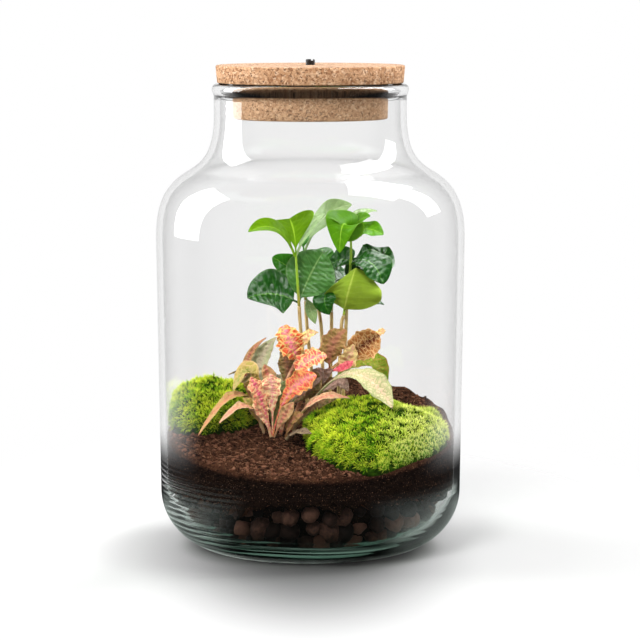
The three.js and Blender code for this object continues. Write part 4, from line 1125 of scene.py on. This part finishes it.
def make_coffee(name, plant, leaf_material, wood, green):
    """One seedling: a woody stem out of the soil, a green stem above it, and its leaves."""
    x, y = plant["root"]
    foot = (x, y, float(soil_height(np.float64(x), np.float64(y))) - 3)
    stem = tube([foot, *plant["wood"]], STEM_RADIUS["wood"], 36)
    new_piece(name + "_wood", stem, wood, [name + "_stem"])
    new_piece(name + "_green", tube(plant["green"], STEM_RADIUS["green"], 20, 0.7), green, [])
    blades = []
    for spec in plant["leaves"]:
        field, vein, dull, crinkle, quilt = COFFEE_LOOKS[spec["look"]]
        part = leaf(spec, crinkle, quilt=quilt)
        blades.append(tinted(part, {"field": field, "vein": vein}, {"dull": dull}))
    new_piece(name + "_leaves", merged(blades), leaf_material, [name + "_shoot"])


def make_net_leaf(name, plant, leaf_material, stem_material):
    """One shoot of the net-leaf plant: its branches, and its leaves."""
    if plant["stems"]:
        stems = merged([tube(points, STEM_RADIUS["net"], 20, 0.7) for points in plant["stems"]])
        new_piece(name + "_stems", stems, stem_material, [])
    blades = []
    for spec in plant["leaves"]:
        field, vein, centre, net, frill = NET_LOOKS[spec["look"]]
        part = leaf(spec, 0.4, 1.2 * frill * min(1, spec["width"] / 7))
        blades.append(tinted(part, {"field": field, "vein": vein, "centre": centre}, {"net": net}))
    new_piece(name + "_leaves", merged(blades), leaf_material, [name])


# The studio

def make_floor():
    """A disc a little under the jar's foot."""
    part = turned([(0, -0.4), (120, -0.4), (300, -0.4), (700, -0.4)], 96)
    mesh = bpy.data.meshes.new("floor")
    mesh.from_pydata((part["places"] * MM).tolist(), [], part["faces"].tolist())
    mesh.materials.append(floor_finish())
    floor = bpy.data.objects.new("floor", mesh)
    bpy.context.scene.collection.objects.link(floor)


def make_world():
    """White behind the object, a little brighter for rays that have passed the glass. Dull surfaces
    are lit by a soft even sky. The glass mirrors a dim room in front, a bright one behind and dark
    ground, and what it mirrors twice is an even pale grey. Leaves inside the jar mirror a bright
    panel overhead."""
    paint = Paint("studio", "worlds")
    bpy.context.scene.world = paint.owner
    sky = {
        key: paint.add("Background", None, {"Color": (level, level, level, 1)})
        for key, level in ROOM.items()
    }
    _, y, z = paint.axes(paint.add("TexCoord", out="Generated"))
    bounces = paint.path("Glossy Depth")
    room = paint.blend(y.ramp(0.0, 0.55), sky["front"], sky["back"])
    room = paint.blend(z.ramp(-0.65, -0.25), sky["below"], room)
    room = paint.blend(bounces.ramp(1.2, 1.8), room, sky["edges"])
    sheen = paint.blend(z.ramp(0.5, 0.8), sky["front"], sky["sheen"])
    room = paint.blend(paint.path("Transmission Depth").ramp(3.2, 3.8), room, sheen)
    last = paint.blend(paint.path("Is Transmission Ray"), sky["sky"], sky["backdrop"])
    last = paint.blend(bounces.ramp(0.2, 0.8), last, room)
    paint.end(paint.blend(paint.path("Is Camera Ray"), last, sky["white"]), "OutputWorld")


def make_lamp(name, place, target, size, power, mirrored=True):
    """A rectangular lamp at a place, turned so that its -Z points at the target."""
    light = bpy.data.lights.new(name, "AREA")
    light.shape = "RECTANGLE"
    light.size, light.size_y = size
    light.energy = power
    lamp = bpy.data.objects.new(name, light)
    lamp.location = place
    x, y, z = np.array(target) - np.array(place)
    lamp.rotation_euler = (math.atan2(math.hypot(x, y), -z), 0.0, math.atan2(-x, y))
    lamp.visible_camera = False
    lamp.visible_transmission = False
    lamp.visible_glossy = mirrored
    bpy.context.scene.collection.objects.link(lamp)


def make_camera():
    """The camera stands 1.7 m in front and a little above, at the photograph's viewing angle."""
    data = bpy.data.cameras.new("camera")
    data.lens = 157.8
    data.sensor_width = 36
    data.clip_end = 20
    camera = bpy.data.objects.new("camera", data)
    camera.location = (0.0059, -1.718, 0.342)
    camera.rotation_euler = (math.radians(83.32), 0, 0)
    bpy.context.scene.collection.objects.link(camera)
    bpy.context.scene.camera = camera


make_jar(glass_finish())
make_lid(cork_finish())
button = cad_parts["lid_button"]
button.data.materials.clear()
button.data.materials.append(black_finish())

make_soil(soil_finish("soil_bed", "190e09", "4a2e20", "8a664e"))
make_crumbs(soil_finish("soil_crumbs", "22130c", "764e3c", "b08a70"))
make_fibres(soil_finish("soil_fibres", "4d3023", "94684f", "b08a6c"))
make_clay(clay_finish())
make_core(soil_finish("clay_gaps", "0c0806", "2a1c15", "5a3d2d"))

moss_tufts, moss_ground = moss_finish(), moss_ground_finish()
for cushion in MOSS:
    make_moss(cushion, moss_tufts, moss_ground)

coffee_finishes = coffee_leaf_finish(), wood_stem_finish(), green_stem_finish()
for name, seedling in COFFEE.items():
    make_coffee(name, seedling, *coffee_finishes)

net_finishes = net_leaf_finish(), net_stem_finish()
for name, shoot in NET_LEAF.items():
    make_net_leaf(name, shoot, *net_finishes)

make_floor()
make_world()
make_lamp("left_box", (-1.3, 0.3, 0.75), (0, 0, 0.2), (0.85, 1.35), 30)
make_lamp("right_box", (1.15, 0.35, 1.3), (0, 0, 0.2), (0.6, 1.9), 28)
make_lamp("top_box", (0.75, 0.2, 1.5), (0, 0, 0.1), (1.0, 0.8), 20)
make_lamp("key", (-0.5, -1.1, 1.5), (0, 0, 0.1), (0.5, 0.5), 30, mirrored=False)
make_camera()
bpy.context.scene.view_settings.view_transform = "Standard"
